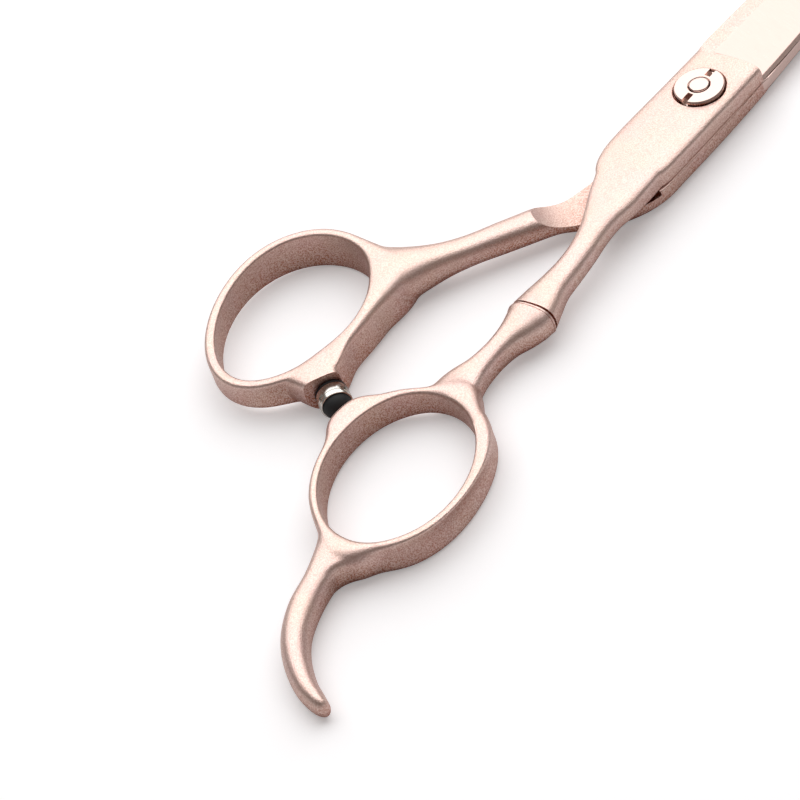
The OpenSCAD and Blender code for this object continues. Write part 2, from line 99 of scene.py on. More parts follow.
class ShearsSizes(bpy.types.PropertyGroup):
    """Sizes of the shears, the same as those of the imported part, and the grain of the finish."""

    blade_reach: length("Blade reach", "Pivot axis to blade tips", 0.077)
    blade_w: length("Blade width", "Width of each half across the pivot", 0.0106)
    half_t: length("Half thickness", "Thickness of each half at the pivot", 0.00325)
    tip_t: length("Tip thickness", "Thickness of a blade near its tip", 0.0013)
    spine_strip: length("Spine strip", "Flat strip along the blade spine", 0.0028)
    hollow_depth: length("Hollow depth", "Hollow ground in each inner face", 0.00015)
    finger_hole_l: length("Finger hole length", "Finger hole, long way across", 0.0255)
    finger_hole_w: length("Finger hole width", "Finger hole, short way across", 0.0201)
    finger_ring_h: length("Finger ring height", "Height of the finger ring band", 0.0055)
    finger_reach: length("Finger reach", "Pivot axis to the middle of the finger hole", 0.074)
    rest_l: length("Rest length", "Length of the finger rest beyond the ring", 0.021)
    thumb_hole_l: length("Thumb hole length", "Thumb hole, long way across", 0.0266)
    thumb_hole_w: length("Thumb hole width", "Thumb hole, short way across", 0.0205)
    thumb_ring_h: length("Thumb ring height", "Height of the thumb ring band", 0.0068)
    thumb_lead: length("Thumb lead", "How much nearer the pivot the thumb hole lies", 0.015)
    sleeve_d: length("Sleeve diameter", "Outside diameter of the silencer sleeve", 0.0046)
    sleeve_l: length("Sleeve length", "Length of the silencer sleeve", 0.0022)
    grain: length("Grain", "Grain of the blasted finish, drawn coarse enough to show", 0.00019)


class ShearsColours(bpy.types.PropertyGroup):
    """Colours of the shears."""

    rose: colour("Rose gold", "Blasted rose gold coating", "#EDD4CA")
    # deep tone: the grain's own colour, and also painted shade in hollows
    rose_deep: colour("Rose gold, deep", "Coating where grain and hollows darken it", "#AD6A52")
    rose_pale: colour("Rose gold, ground", "Ground and polished blade faces", "#DFC4BB")
    sleeve: colour("Sleeve", "Bright plated silencer sleeve", "#DAD8D2")
    rubber: colour("Rubber", "Black rubber of the silencer", "#08090C")
    backdrop: colour("Backdrop", "Floor under the shears", "#F2F2F4")


# ---------------------------------------------------------------- curves and meshes, in millimetres


def smooth_stations(stations, steps):
    """Catmull-Rom curve through rows of numbers."""
    rows = np.array(stations, float)
    last = len(rows) - 1
    out = []
    for i in range(last):
        a, b, c, d = rows[max(i - 1, 0)], rows[i], rows[i + 1], rows[min(i + 2, last)]
        for t in np.arange(steps) / steps:
            curve = 2 * b + (c - a) * t + (2 * a - 5 * b + 4 * c - d) * t * t
            out.append(0.5 * (curve + (3 * b - a - 3 * c + d) * t**3))
    out.append(rows[last])
    return np.array(out)


def headings(path):
    """Plan direction of a path at each of its points, in radians."""
    step = np.gradient(path[:, :2], axis=0)
    return np.unwrap(np.arctan2(step[:, 1], step[:, 0]))


def rounded(half_width, half_height, fullness, angle, low_fullness=None):
    """Across and up of a rounded section; fullness 2 is an oval, and higher is squarer."""
    ca, sa = np.cos(angle), np.sin(angle)
    n = np.where(sa > 0, fullness, low_fullness or fullness)
    return (
        half_width * np.sign(ca) * np.abs(ca) ** (2 / n),
        half_height * np.sign(sa) * np.abs(sa) ** (2 / n),
    )


def sweep_object(name, stations, count=96):
    """Rounded bar; a station is x, y, z, half width, half height, upper and lower fullness."""
    path = np.array(stations, float)
    angle = 2 * math.pi * (np.arange(count) + 0.5) / count
    rings = []
    for s, d in zip(path, headings(path)):
        u, v = rounded(s[3], s[4], s[5], angle, s[6])
        rings.append(np.stack([s[0] + u * math.sin(d), s[1] - u * math.cos(d), s[2] + v], 1))
    return ring_object(name, rings)


def ring_faces(n, count, closed=False):
    """Quads between rings of points, with end caps on an open row."""
    faces = []
    for i in range(n if closed else n - 1):
        j = (i + 1) % n
        for k in range(count):
            m = (k + 1) % count
            faces.append([i * count + k, i * count + m, j * count + m, j * count + k])
    if not closed:
        faces.append(list(range(count))[::-1])
        faces.append([(n - 1) * count + k for k in range(count)])
    return faces


def make_object(name, points, faces):
    """New object from points in millimetres, its faces turned outwards."""
    mesh = bpy.data.meshes.new(name)
    mesh.from_pydata((np.asarray(points, float) * MM).tolist(), [], faces)
    mesh.validate()
    obj = bpy.data.objects.new(name, mesh)
    bpy.context.scene.collection.objects.link(obj)
    if signed_volume(mesh) < 0:
        mesh.flip_normals()
    return obj


def signed_volume(mesh):
    """Volume inside a closed mesh, negative when it is inside out."""
    mesh.calc_loop_triangles()
    co = np.zeros(len(mesh.vertices) * 3)
    mesh.vertices.foreach_get("co", co)
    co = co.reshape(-1, 3)
    tri = np.zeros(len(mesh.loop_triangles) * 3, int)
    mesh.loop_triangles.foreach_get("vertices", tri)
    a, b, c = (co[tri.reshape(-1, 3)[:, i]] for i in range(3))
    return float(np.einsum("ij,ij->i", a, np.cross(b, c)).sum() / 6)


def ring_object(name, rings, closed=False):
    """New object from rows of points, each row one ring of the skin."""
    rings = np.array(rings)
    return make_object(name, rings.reshape(-1, 3), ring_faces(len(rings), rings.shape[1], closed))


def lathe_object(name, profile, segments=128):
    """Turns a closed profile of (radius, height) points round Z."""
    radius, height = np.array(profile, float).T
    angle = 2 * math.pi * np.arange(segments) / segments
    rings = [
        np.stack([radius * cos, radius * sin, height], 1) for cos, sin in zip(np.cos(angle), np.sin(angle))
    ]
    return ring_object(name, rings, True)


def box_object(name, low, high):
    """Box between two corners."""
    points = [[x, y, z] for x in (low[0], high[0]) for y in (low[1], high[1]) for z in (low[2], high[2])]
    faces = [[0, 1, 3, 2], [4, 6, 7, 5], [0, 4, 5, 1], [2, 3, 7, 6], [0, 2, 6, 4], [1, 5, 7, 3]]
    return make_object(name, points, faces)


def apply_modifiers(obj):
    """Bakes an object's modifiers into its mesh."""
    graph = bpy.context.evaluated_depsgraph_get()
    mesh = bpy.data.meshes.new_from_object(obj.evaluated_get(graph))
    old = obj.data
    obj.modifiers.clear()
    obj.data = mesh
    mesh.name = obj.name
    bpy.data.meshes.remove(old)


def remove(obj):
    """Deletes an object and its mesh."""
    mesh = obj.data
    bpy.data.objects.remove(obj)
    bpy.data.meshes.remove(mesh)


def combine(obj, other, operation="DIFFERENCE"):
    """Cuts, joins or keeps what is common, and removes the other object."""
    modifier = obj.modifiers.new("combine", "BOOLEAN")
    modifier.operation = operation
    modifier.solver = "EXACT"
    modifier.object = other
    apply_modifiers(obj)
    remove(other)


def drill(obj, radius, low, high, segments=128):
    """Cuts a round hole on the pivot axis between two heights."""
    combine(obj, lathe_object("drill", [[0, low], [radius, low], [radius, high], [0, high]], segments))


def mill(obj, low, high, angle, at=(0, 0)):
    """Cuts a box, given by its corners before it is turned by the angle and moved to its place."""
    cutter = box_object("mill", low, high)
    move(cutter, angle, at)
    combine(obj, cutter)


def move(obj, angle, at):
    """Turns an object round the pivot axis and then moves it in plan."""
    set_points(obj, turn(mesh_points(obj), angle) + [*at, 0])


def gather(name, objects):
    """Joins several objects into one mesh without cutting them."""
    points, faces = [], []
    for obj in objects:
        first = len(points)
        points += [v.co * (1 / MM) for v in obj.data.vertices]
        faces += [[first + i for i in p.vertices] for p in obj.data.polygons]
        remove(obj)
    return make_object(name, points, faces)


def voxel_union(obj):
    """Melts overlapping skins into one."""
    modifier = obj.modifiers.new("union", "REMESH")
    modifier.mode = "VOXEL"
    modifier.voxel_size = VOXEL * MM
    modifier.adaptivity = 0.0
    apply_modifiers(obj)


def mesh_points(obj):
    """Points of a mesh in millimetres."""
    co = np.zeros(len(obj.data.vertices) * 3)
    obj.data.vertices.foreach_get("co", co)
    return co.reshape(-1, 3) / MM


def set_points(obj, points):
    """Moves the points of a mesh, given in millimetres."""
    obj.data.vertices.foreach_set("co", (points * MM).ravel())
    obj.data.update()


def relax(obj, rounds, weight=None, keep_size=True):
    """Evens out a mesh; weight is a share for each point, and keep_size undoes the shrinking."""
    edges = np.zeros(len(obj.data.edges) * 2, int)
    obj.data.edges.foreach_get("vertices", edges)
    edges = edges.reshape(-1, 2)
    co = mesh_points(obj)
    ends, others = edges.ravel(), edges[:, ::-1].ravel()
    degree = np.bincount(ends, minlength=len(co)).astype(float)
    share = np.ones((len(co), 1)) if weight is None else np.asarray(weight)[:, None]

    def step(points, amount):
        mean = np.stack([np.bincount(ends, points[others, k], len(co)) / degree for k in range(3)], 1)
        return points + share * amount * (mean - points)

    for _ in range(rounds):
        co = step(co, 0.5)
        if keep_size:
            co = step(co, -0.52)
    set_points(obj, co)


def shade(obj, angle=30):
    """Smooth shading with crisp lines where faces meet at more than the angle."""
    obj.data.shade_smooth()
    obj.data.set_sharp_from_angle(angle=math.radians(angle))


def turn(points, angle):
    """Points turned round the pivot axis by an angle in degrees."""
    a = math.radians(angle)
    p = np.array(points, float)
    x, y = p[:, 0].copy(), p[:, 1].copy()
    p[:, 0] = x * math.cos(a) - y * math.sin(a)
    p[:, 1] = x * math.sin(a) + y * math.cos(a)
    return p


def finish(obj, body, nodes, materials):
    """Gives a piece its materials and body, and hides the CAD nodes it stands for."""
    low, high = (np.array(corner) / MM for corner in CAD_BOUNDS)
    set_points(obj, np.clip(mesh_points(obj), low, high))
    for material in materials:
        obj.data.materials.append(material)
    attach(obj, body)
    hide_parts(*nodes)


# ---------------------------------------------------------------- layout shared by the pieces


class Layout:
    """Places and sizes in millimetres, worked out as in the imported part; angles in degrees."""

    def __init__(self, context):
        sizes = context.scene.shears_sizes
        for name in sizes.__annotations__:
            setattr(self, name, getattr(sizes, name) / MM)
        # heights of the two halves, each with a small gap under it
        under = 0.10
        thumb_z0 = under
        self.ride_z = thumb_z0 + self.half_t
        self.finger_z0 = self.ride_z + under
        self.finger_z1 = self.finger_z0 + self.half_t
        self.thumb_mid = (thumb_z0 + self.ride_z) / 2
        self.finger_c = np.array([-self.finger_reach, -4.0])
        self.thumb_c = np.array([self.thumb_lead - self.finger_reach, 27.5])
        # holes of the rings: middle, length, width, tilt and egg shape
        tilt = 18
        self.finger_ring = (self.finger_c, self.finger_hole_l, self.finger_hole_w, tilt, 0)
        self.thumb_ring = (self.thumb_c, self.thumb_hole_l, self.thumb_hole_w, 9, 0.12)
        # the shoulder, where the ground bevel starts, is an arc in plan
        self.shoulder_r, self.shoulder_c = 40, (-32.8, -4.0)
        # round seats and bores on the pivot axis
        self.glide_r, self.glide_deep = 3.54, 0.25
        self.seat_r, self.seat_deep = 3.80, 1.15
        self.bushing_r, self.bolt_r = 2.64, 2.04
        self.head_r, self.head_deep = 3.74, 0.9
        self.through = (-2, 12)
        # silencer on its boss on the thumb ring
        self.foot = hole_edge(*self.thumb_ring, 235.3) + 4.67 * unit(-110)
        self.foot_z, self.foot_dir = 3.0, -121.0
        self.pad_back, self.pad_front = 0.5, 1.9
        self.pad_front_r = self.sleeve_d / 2 - 0.31
        self.pad_l = self.pad_back + self.sleeve_l + self.pad_front
        # welds between blades and handles
        self.weld = np.array([-43.8, -3.12])
        self.weld_turn = 4.0
        self.weld_z = (self.finger_z0 + self.finger_z1) / 2 - 1.55
        self.weld_hw, self.weld_hh = 3.42, 2.58
        self.scoop = np.array([-29.6, 7.75])
        self.scoop_dir = 147.0
        self.neck_end = -self.finger_reach + 0.485 * self.finger_hole_l + 1.3
        self.shank_end = self.thumb_c + [0.481 * self.thumb_hole_l, -0.39 * self.thumb_hole_w]
        # boss on the finger ring that meets the silencer's dome, 27 degrees to the side of its tip
        gap = 0.1
        cos, sin = unit(27)
        k = math.hypot(self.pad_front_r * sin, self.pad_front * cos)
        ahead = self.pad_l - self.pad_front + self.pad_front**2 * cos / k
        aside = self.pad_front_r**2 * sin / k
        touch = self.foot + ahead * unit(self.foot_dir) + aside * unit(self.foot_dir + 90)
        d = touch - self.finger_c
        u, v = d @ unit(tilt), d @ unit(tilt + 90)
        self.boss_at = math.degrees(math.atan2(v / self.finger_hole_w, u / self.finger_hole_l)) - 3
        edge = hole_edge(*self.finger_ring, self.boss_at)
        self.boss_rise = float(np.hypot(*(touch - edge))) - gap

    def at_weld(self, d):
        """Plan point at a distance from the finger weld, positive towards the pivot."""
        return self.weld + d * unit(self.weld_turn)

    def neck(self, t):
        """x and z of the finger neck, t from weld to ring."""
        ring_z = 2.5
        x = self.weld[0] + (self.neck_end - self.weld[0]) * t
        return x, ring_z + (self.weld_z - ring_z) * (1 - t) ** 2.2

    def boss(self, s, t):
        """Plan point of the silencer's boss: s back from its end face, t away from the pivot."""
        return self.foot - s * unit(self.foot_dir) + t * unit(self.foot_dir - 90)

    def shank(self, t):
        """Plan point of the thumb shank, t from weld to ring."""
        p = self.scoop + (self.shank_end - self.scoop) * t
        return p[0], p[1] - 0.43 * math.sin(math.pi * t**1.5)


def unit(angle):
    """Direction in plan at an angle in degrees."""
    return np.array([math.cos(math.radians(angle)), math.sin(math.radians(angle))])


def swell(a, at, high, wide, power=2):
    """Swelling of a band round an angle; a higher power gives it a flatter top."""
    d = (np.asarray(a) - at + 540) % 360 - 180
    return high * np.exp(-(np.abs(d / wide) ** power))


def hole_edge(c, l, w, tilt, egg, a):
    """Point on the edge of a finger or thumb hole: centre, length, width, tilt, egg shape, angle."""
    a = np.radians(a)
    cos, sin = unit(tilt)
    u, v = l / 2 * np.cos(a), w / 2 * np.sin(a) * (1 + egg * np.cos(a))
    return np.stack([c[0] + u * cos - v * sin, c[1] + u * sin + v * cos], -1)


def corner_section(hw, hh, radii, dome):
    """Flat-topped section; radii of its outer top, inner top, inner low and outer low corners."""
    points = []
    r = np.minimum(radii, 0.96 * min(hw, hh))
    # signs of each corner, and how many points lie between it and the next
    sides = ((1, 1, 9), (-1, 1, 5), (-1, -1, 5), (1, -1, 5))
    for k, (su, sv, between) in enumerate(sides):
        t = np.radians(np.linspace(90 * k, 90 * k + 90, 9))
        corner = np.stack([su * (hw - r[k]) + r[k] * np.cos(t), sv * (hh - r[k]) + r[k] * np.sin(t)], 1)
        nu, nv, _ = sides[(k + 1) % 4]
        m = r[(k + 1) % 4]
        start = np.array([nu * (hw - m), nv * (hh - m)]) + m * unit(90 * k + 90)
        share = np.linspace(0, 1, between + 2)[1:-1, None]
        points += [corner, corner[-1] + share * (start - corner[-1])]
    points = np.concatenate(points)
    points[:, 1] -= np.where(points[:, 1] > 0, dome * (points[:, 0] / hw) ** 2, 0)
    return points


def band_object(hole, z, width, height, radii, lean, inset, hollow):
    """Band of a ring round its hole at a height z; the rest are functions of the angle round the hole.

    width and half height are those of the section, radii its corners, lean how far the inner wall
    slopes in below, inset how far it lies inside the hole, and hollow how far the outer wall sinks.
    """
    steps, dome = 300, 0.16
    angles = 360 * np.arange(steps) / steps
    edge, edge_ahead = (hole_edge(*hole, angles + ahead) for ahead in (0, 0.5))
    rings = []
    for a, here, there in zip(angles, edge, edge_ahead):
        along = (there - here) / np.hypot(*(there - here))
        out = np.array([along[1], -along[0]])
        t, h = float(width(a)), float(height(a))
        section = corner_section(t / 2, h, radii(a), dome)
        u, v = section[:, 0] + t / 2, section[:, 1]
        inner = np.clip(1 - u / t, 0, 1)
        u = u - inner * (float(inset(a)) + float(lean(a)) * np.clip(-v / h, 0, 1))
        u = u - (1 - inner) * float(hollow(a)) * (1 - (v / h) ** 2)
        rings.append(np.concatenate([here + u[:, None] * out, (z + v)[:, None]], 1))
    return ring_object("band", rings, True)


def fused(name, parts, junction):
    """Melts sweeps into one skin: true to them everywhere but at the junctions, which are blended."""
    obj = gather(name, parts)
    true = bpy.data.objects.new("true", obj.data.copy())
    bpy.context.scene.collection.objects.link(true)
    voxel_union(obj)
    relax(obj, 3)
    blend = np.clip(junction(mesh_points(obj)), 0, 1)
    # away from the junctions the skin goes back onto the sweeps, in ten steps of weight
    group = obj.vertex_groups.new(name="true")
    keep = np.round((1 - np.clip(blend * 1.6, 0, 1)) * 10).astype(int)
    for level in range(1, 11):
        group.add(np.flatnonzero(keep == level).tolist(), level / 10, "REPLACE")
    wrap = obj.modifiers.new("wrap", "SHRINKWRAP")
    wrap.target = true
    wrap.vertex_group = group.name
    apply_modifiers(obj)
    remove(true)
    relax(obj, 90, blend, False)
    relax(obj, 1)
    return obj


# ---------------------------------------------------------------- forged blades


def smoothstep(t):
    """Smooth rise from 0 to 1."""
    t = np.clip(t, 0, 1)
    return t * t * (3 - 2 * t)


def blade_half(L, plate, spine_cut, over, soft=1.0):
    """Rings of one blade forging in its own frame: inner face at z = 0, edge towards -Y.

    plate holds stations for the plate and shank, with z counted from the inner face; spine_cut is
    the height of the chamfer along the spine, over is -1 for the half that is turned over, and soft
    rounds the edge side of the plate more than its spine side.
    """
    w, reach, full = L.blade_w / 2, L.blade_reach, L.half_t
    # x, spine, edge, ridge between strip and bevel, thickness
    ground = smooth_stations(
        [
            [1, w - 1, -w + 0.5, w - L.spine_strip, full],
            [reach * 0.08, w - 0.15, -w + 0.4, w - L.spine_strip - 0.1, full],
            [reach * 0.22, w - 0.5, -w + 0.5, w - L.spine_strip - 0.4, full],
            [reach * 0.45, w * 0.74, -w * 0.77, w * 0.74 - L.spine_strip * 0.75, full * 0.88],
            [reach * 0.68, w * 0.50, -w * 0.58, w * 0.5 - L.spine_strip * 0.6, full * 0.68],
            [reach * 0.87, w * 0.20, -w * 0.34, w * 0.2 - L.spine_strip * 0.35, L.tip_t * 1.25],
            [reach * 0.97, -w * 0.02, -w * 0.18, -w * 0.02 - 0.45, L.tip_t],
            [reach, -w * 0.09, -w * 0.125, -w * 0.1, L.tip_t * 0.55],
        ],
        12,
    )
    L.ridge = ground[:, [0, 3]]
    # fine rings across the shoulder, wide ones along the blade, and the plate's own behind them
    plate_end, shoulder_end, tip_start = 4.0, 10.0, 74.0
    rows = smooth_stations(plate, 10)
    near = rows[rows[:, 0] < plate_end]
    forward = np.concatenate(
        [
            np.linspace(tip_start, reach, 16)[::-1],
            np.arange(shoulder_end, tip_start, 0.8)[::-1],
            np.arange(plate_end, shoulder_end, 0.07)[::-1],
        ]
    )
    order = np.argsort(rows[:, 0])
    ahead = [
        [x] + [np.interp(min(x, 13.9), rows[order, 0], rows[order, k]) for k in range(1, 7)]
        for x in forward
    ]
    direction = np.concatenate([np.full(len(ahead), math.pi), headings(near)])
    s = np.sin(math.pi / 2 * np.linspace(-1, 1, 91))
    rings = []
    for (x0, y0, zc, hw, hh, n_up, n_low), d in zip(np.concatenate([ahead, near]), direction):
        n = np.where(s < 0, max(n_up * soft, min(n_up, 2.6)), n_up)
        up = zc + hh * (1 - np.abs(s) ** n) ** (1 / n)
        low = zc - hh * (1 - np.abs(s) ** n_low) ** (1 / n_low)
        x = x0 + s * hw * math.sin(d)
        y = y0 + s * hw * -math.cos(d)
        if x0 > plate_end - 0.1:
            spine, edge, ridge, t = (np.interp(x0, ground[:, 0], ground[:, k]) for k in range(1, 5))
            yb = (spine + edge) / 2 + s * (spine - edge) / 2
            # bevel with a thin land at the edge and a steeper sharpened strip beside it
            land, micro = 0.05, 0.45 * min(1.0, (spine - edge) / 4)
            micro_z = 0.10 + (t - 0.10) * micro / max(ridge - edge, 0.3) + 0.12
            bevel = np.interp(yb, [edge, edge + micro, ridge], [land, min(micro_z, t), t])
            cut = spine_cut * t / full
            chamfer = np.interp(yb, [spine - cut * 0.7, spine], [t, t - cut])
            top = np.minimum(bevel, np.where(yb > spine - cut * 0.7, chamfer, t))
            # hollow ground inner face
            dip = L.hollow_depth * min(1.0, (spine - edge) / w)
            dip = dip * (1 - ((2 * yb - spine - edge) / (spine - edge)) ** 2)
            dip *= smoothstep((x0 - 8.5) / 4)
            # from the plate's skin to the ground faces over a short ramp past the shoulder
            past = np.hypot(x0 - L.shoulder_c[0], y - L.shoulder_c[1] * over) - L.shoulder_r
            ramp = np.minimum(np.maximum(up - top, 0) / 1.19, 0.35)
            ramp = ramp + 0.1 + 1.5 * smoothstep((s - 0.5) / 0.4)
            k = smoothstep(past / ramp)
            y = y + (yb - y) * k
            up = up + (top - up) * k
            low = low + (np.maximum(dip, 0) - low) * k
        top_line = np.stack([x, y, up], 1)
        low_line = np.stack([x, y, np.minimum(low, up - 0.01)], 1)[::-1]
        rings.append(np.concatenate([top_line, low_line]))
    return np.array(rings)


class SHEARS_OT_finger_blade(bpy.types.Operator):
    """Adds the top blade forging, from its weld to the tip"""

    bl_idname = "shears.finger_blade"
    bl_label = "Finger Blade"

    def execute(self, context):
        L = Layout(context)
        w, mid, z0, z1 = L.blade_w / 2, L.half_t / 2, L.finger_z0, L.finger_z1
        z = L.weld_z + 0.03 - z0
        start = L.at_weld(0.47)
        plate = [
            [14, -0.15, mid, w - 0.15, mid, 6, 12],
            [0, 0.1, mid, w, mid, 6, 12],
            [-12, 0.4, mid, w + 0.1, mid, 6, 12],
            [-16, 0.3, mid, w - 0.2, mid, 6, 12],
            [-18.8, -0.4, mid, w - 1, mid, 6, 10],
            [-22.8, -1.15, mid, 3.5, mid, 4.5, 6],
            [-25.7, -1.65, mid - 0.02, 2.7, mid, 3.4, 4],
            [-28.6, -2.2, mid - 0.3, 2.15, 1.72, 2.8, 3],
            [-31.9, -2.65, mid - 0.7, 2.0, 1.8, 2.6, 2.6],
            [-35.2, -2.75, mid - 1.05, 2.05, 1.85, 2.6, 2.6],
            [-38.3, -2.7, mid - 1.25, 2.3, 1.98, 2.6, 2.6],
            [-41.0, -2.85, mid - 1.4, 2.9, 2.2, 2.6, 2.6],
            [*start, z, L.weld_hw, 2.45, 2.6, 2.6],
        ]
        rings = blade_half(L, plate, 0.35, 1.0, 0.55)
        # end of the shank: crisp lip over the groove, and the narrow stub in the groove
        lip = rings[-1]
        centre = lip.mean(0)
        back = np.array([*unit(L.weld_turn + 180), 0.0])
        stub = ((0.02, 0.99), (0.03, 0.87), (0.47, 0.865))
        end = [centre + (lip - centre) * scale + back * d for d, scale in stub]
        rings = np.concatenate([rings, np.array(end)])
        rings[:, :, 2] += z0
        obj = ring_object("finger_blade_forging", rings)
        # round seat for the nut, with a chamfered rim
        low, rim, out = z1 - L.seat_deep, z1 - 0.14, L.seat_r + 0.18
        seat = [[0, low], [L.seat_r, low], [L.seat_r, rim], [out, rim + 0.18], [out, z1 + 2], [0, z1 + 2]]
        combine(obj, lathe_object("seat_cutter", seat, 160))
        drill(obj, L.bushing_r, *L.through, 96)
        drill(obj, L.glide_r, z0 - 2, z0 + L.glide_deep)
        shade(obj, 28)
        finish(obj, "finger_half", ["finger_blade"], blade_materials(context))
        mark_ground_faces(obj, L, 1)
        return {"FINISHED"}


class SHEARS_OT_thumb_blade(bpy.types.Operator):
    """Adds the lower blade forging, with the scoop where its shank rises"""

    bl_idname = "shears.thumb_blade"
    bl_label = "Thumb Blade"

    def execute(self, context):
        L = Layout(context)
        w, mid = L.blade_w / 2, L.half_t / 2
        past = L.scoop + [-1.0, 0.65]
        # heights counted down from the inner face, so this half is built upside down and turned over
        plate = [
            [14, -0.25, mid, w - 0.25, mid, 3, 12],
            [0, -0.05, mid, w - 0.15, mid, 3, 12],
            [-11, -0.15, mid, w - 0.2, mid, 3, 12],
            [-15.5, -0.45, mid, w - 0.15, mid, 3, 12],
            [-19.2, -1.65, mid, w - 0.7, mid, 3, 10],
            [-22.3, -3.35, mid, 3.55, mid, 3, 8],
            [-24.9, -4.9, mid - 0.5, 2.75, mid + 0.15, 2.6, 4],
            [-27.2, -6.3, mid - 1.2, 2.4, 1.8, 2.5, 2.8],
            [L.scoop[0], -L.scoop[1], mid - 1.55, 2.2, 2.05, 2.5, 2.6],
            [past[0], -past[1], mid - 1.55, 2.2, 2.05, 2.5, 2.6],
        ]
        rings = blade_half(L, plate, 1.7, -1.0)
        rings[:, :, 1] *= -1
        rings[:, :, 2] = L.ride_z - rings[:, :, 2]
        obj = ring_object("thumb_blade_forging", rings)
        # scoop: curved wall rising from the lap to the shank, the flat above the lap and its relief
        r, run, relief, relief_x = 9.0, 6.6, 0.8, -16.6
        low_side = math.degrees(math.asin((r - relief) / r))
        angle = np.radians(np.linspace(-180 + low_side, 10, 80))
        profile = [[-run + r * math.cos(t), r - relief + r * math.sin(t)] for t in angle]
        profile += [[profile[-1][0], 30], [-80, 30], [-80, 0.0]]
        low = np.array([[x, -25, z + L.ride_z] for x, z in profile])
        prism = turn(np.concatenate([low, low + [0, 50, 0]]), L.scoop_dir)
        prism[:, :2] += L.scoop
        combine(obj, ring_object("scoop_cutter", prism.reshape(2, -1, 3)))
        slot = box_object("relief_cutter", (-40, -30, L.ride_z - relief), (-run, 30, 20))
        move(slot, L.scoop_dir, L.scoop)
        combine(slot, box_object("relief_end", (-100, -50, -10), (relief_x, 50, 25)), "INTERSECT")
        combine(obj, slot)
        # cut off at the weld
        mill(obj, (0, -60, -5), (60, 60, 25), L.scoop_dir, L.scoop)
        drill(obj, L.head_r, L.through[0], L.head_deep)
        drill(obj, L.bolt_r, *L.through, 96)
        drill(obj, L.glide_r, L.ride_z - L.glide_deep, L.through[1])
        shade(obj, 28)
        finish(obj, "thumb_half", ["thumb_blade"], blade_materials(context))
        mark_ground_faces(obj, L, -1)
        return {"FINISHED"}


def mark_ground_faces(obj, L, over):
    """Ground finish past the shoulder and on the inner face; blasted finish elsewhere."""
    inner = L.finger_z0 if over > 0 else L.ride_z
    into_ramp, plate_end, lap_end = 0.12, 4, -17
    for face in obj.data.polygons:
        c = face.center / MM
        past = math.hypot(c.x - L.shoulder_c[0], c.y - L.shoulder_c[1]) > L.shoulder_r + into_ramp
        facing = face.normal.z * over
        on_inner = facing < -0.8 and abs(c.z - inner) < 0.3
        strip = c.y * over > np.interp(c.x, L.ridge[:, 0], L.ridge[:, 1]) and facing > 0
        if past and c.x > plate_end and not strip or on_inner and c.x > lap_end:
            face.material_index = 1


# ---------------------------------------------------------------- cast handles


def finger_band_w(L):
    """Width of the finger ring's band: thicker at the neck, the silencer's boss and the rest."""
    return lambda a: (
        1.3
        + swell(a, 344, 3.0, 14)
        + swell(a, L.boss_at + 4.5, L.boss_rise - 1.47, 17.8, 3)
        + swell(a, 168, 1.6, 18)
        + swell(a, 303, 1.2, 32)
        + swell(a, L.boss_at - 16, 0.45, 17)
    )


def thumb_band_w(a):
    """Width of the thumb ring's band: thicker at the shank and the silencer's boss."""
    return 1.55 + swell(a, 313, 4.0, 19) + swell(a, 239, 3.0, 14) + swell(a, 275, 0.3, 30)


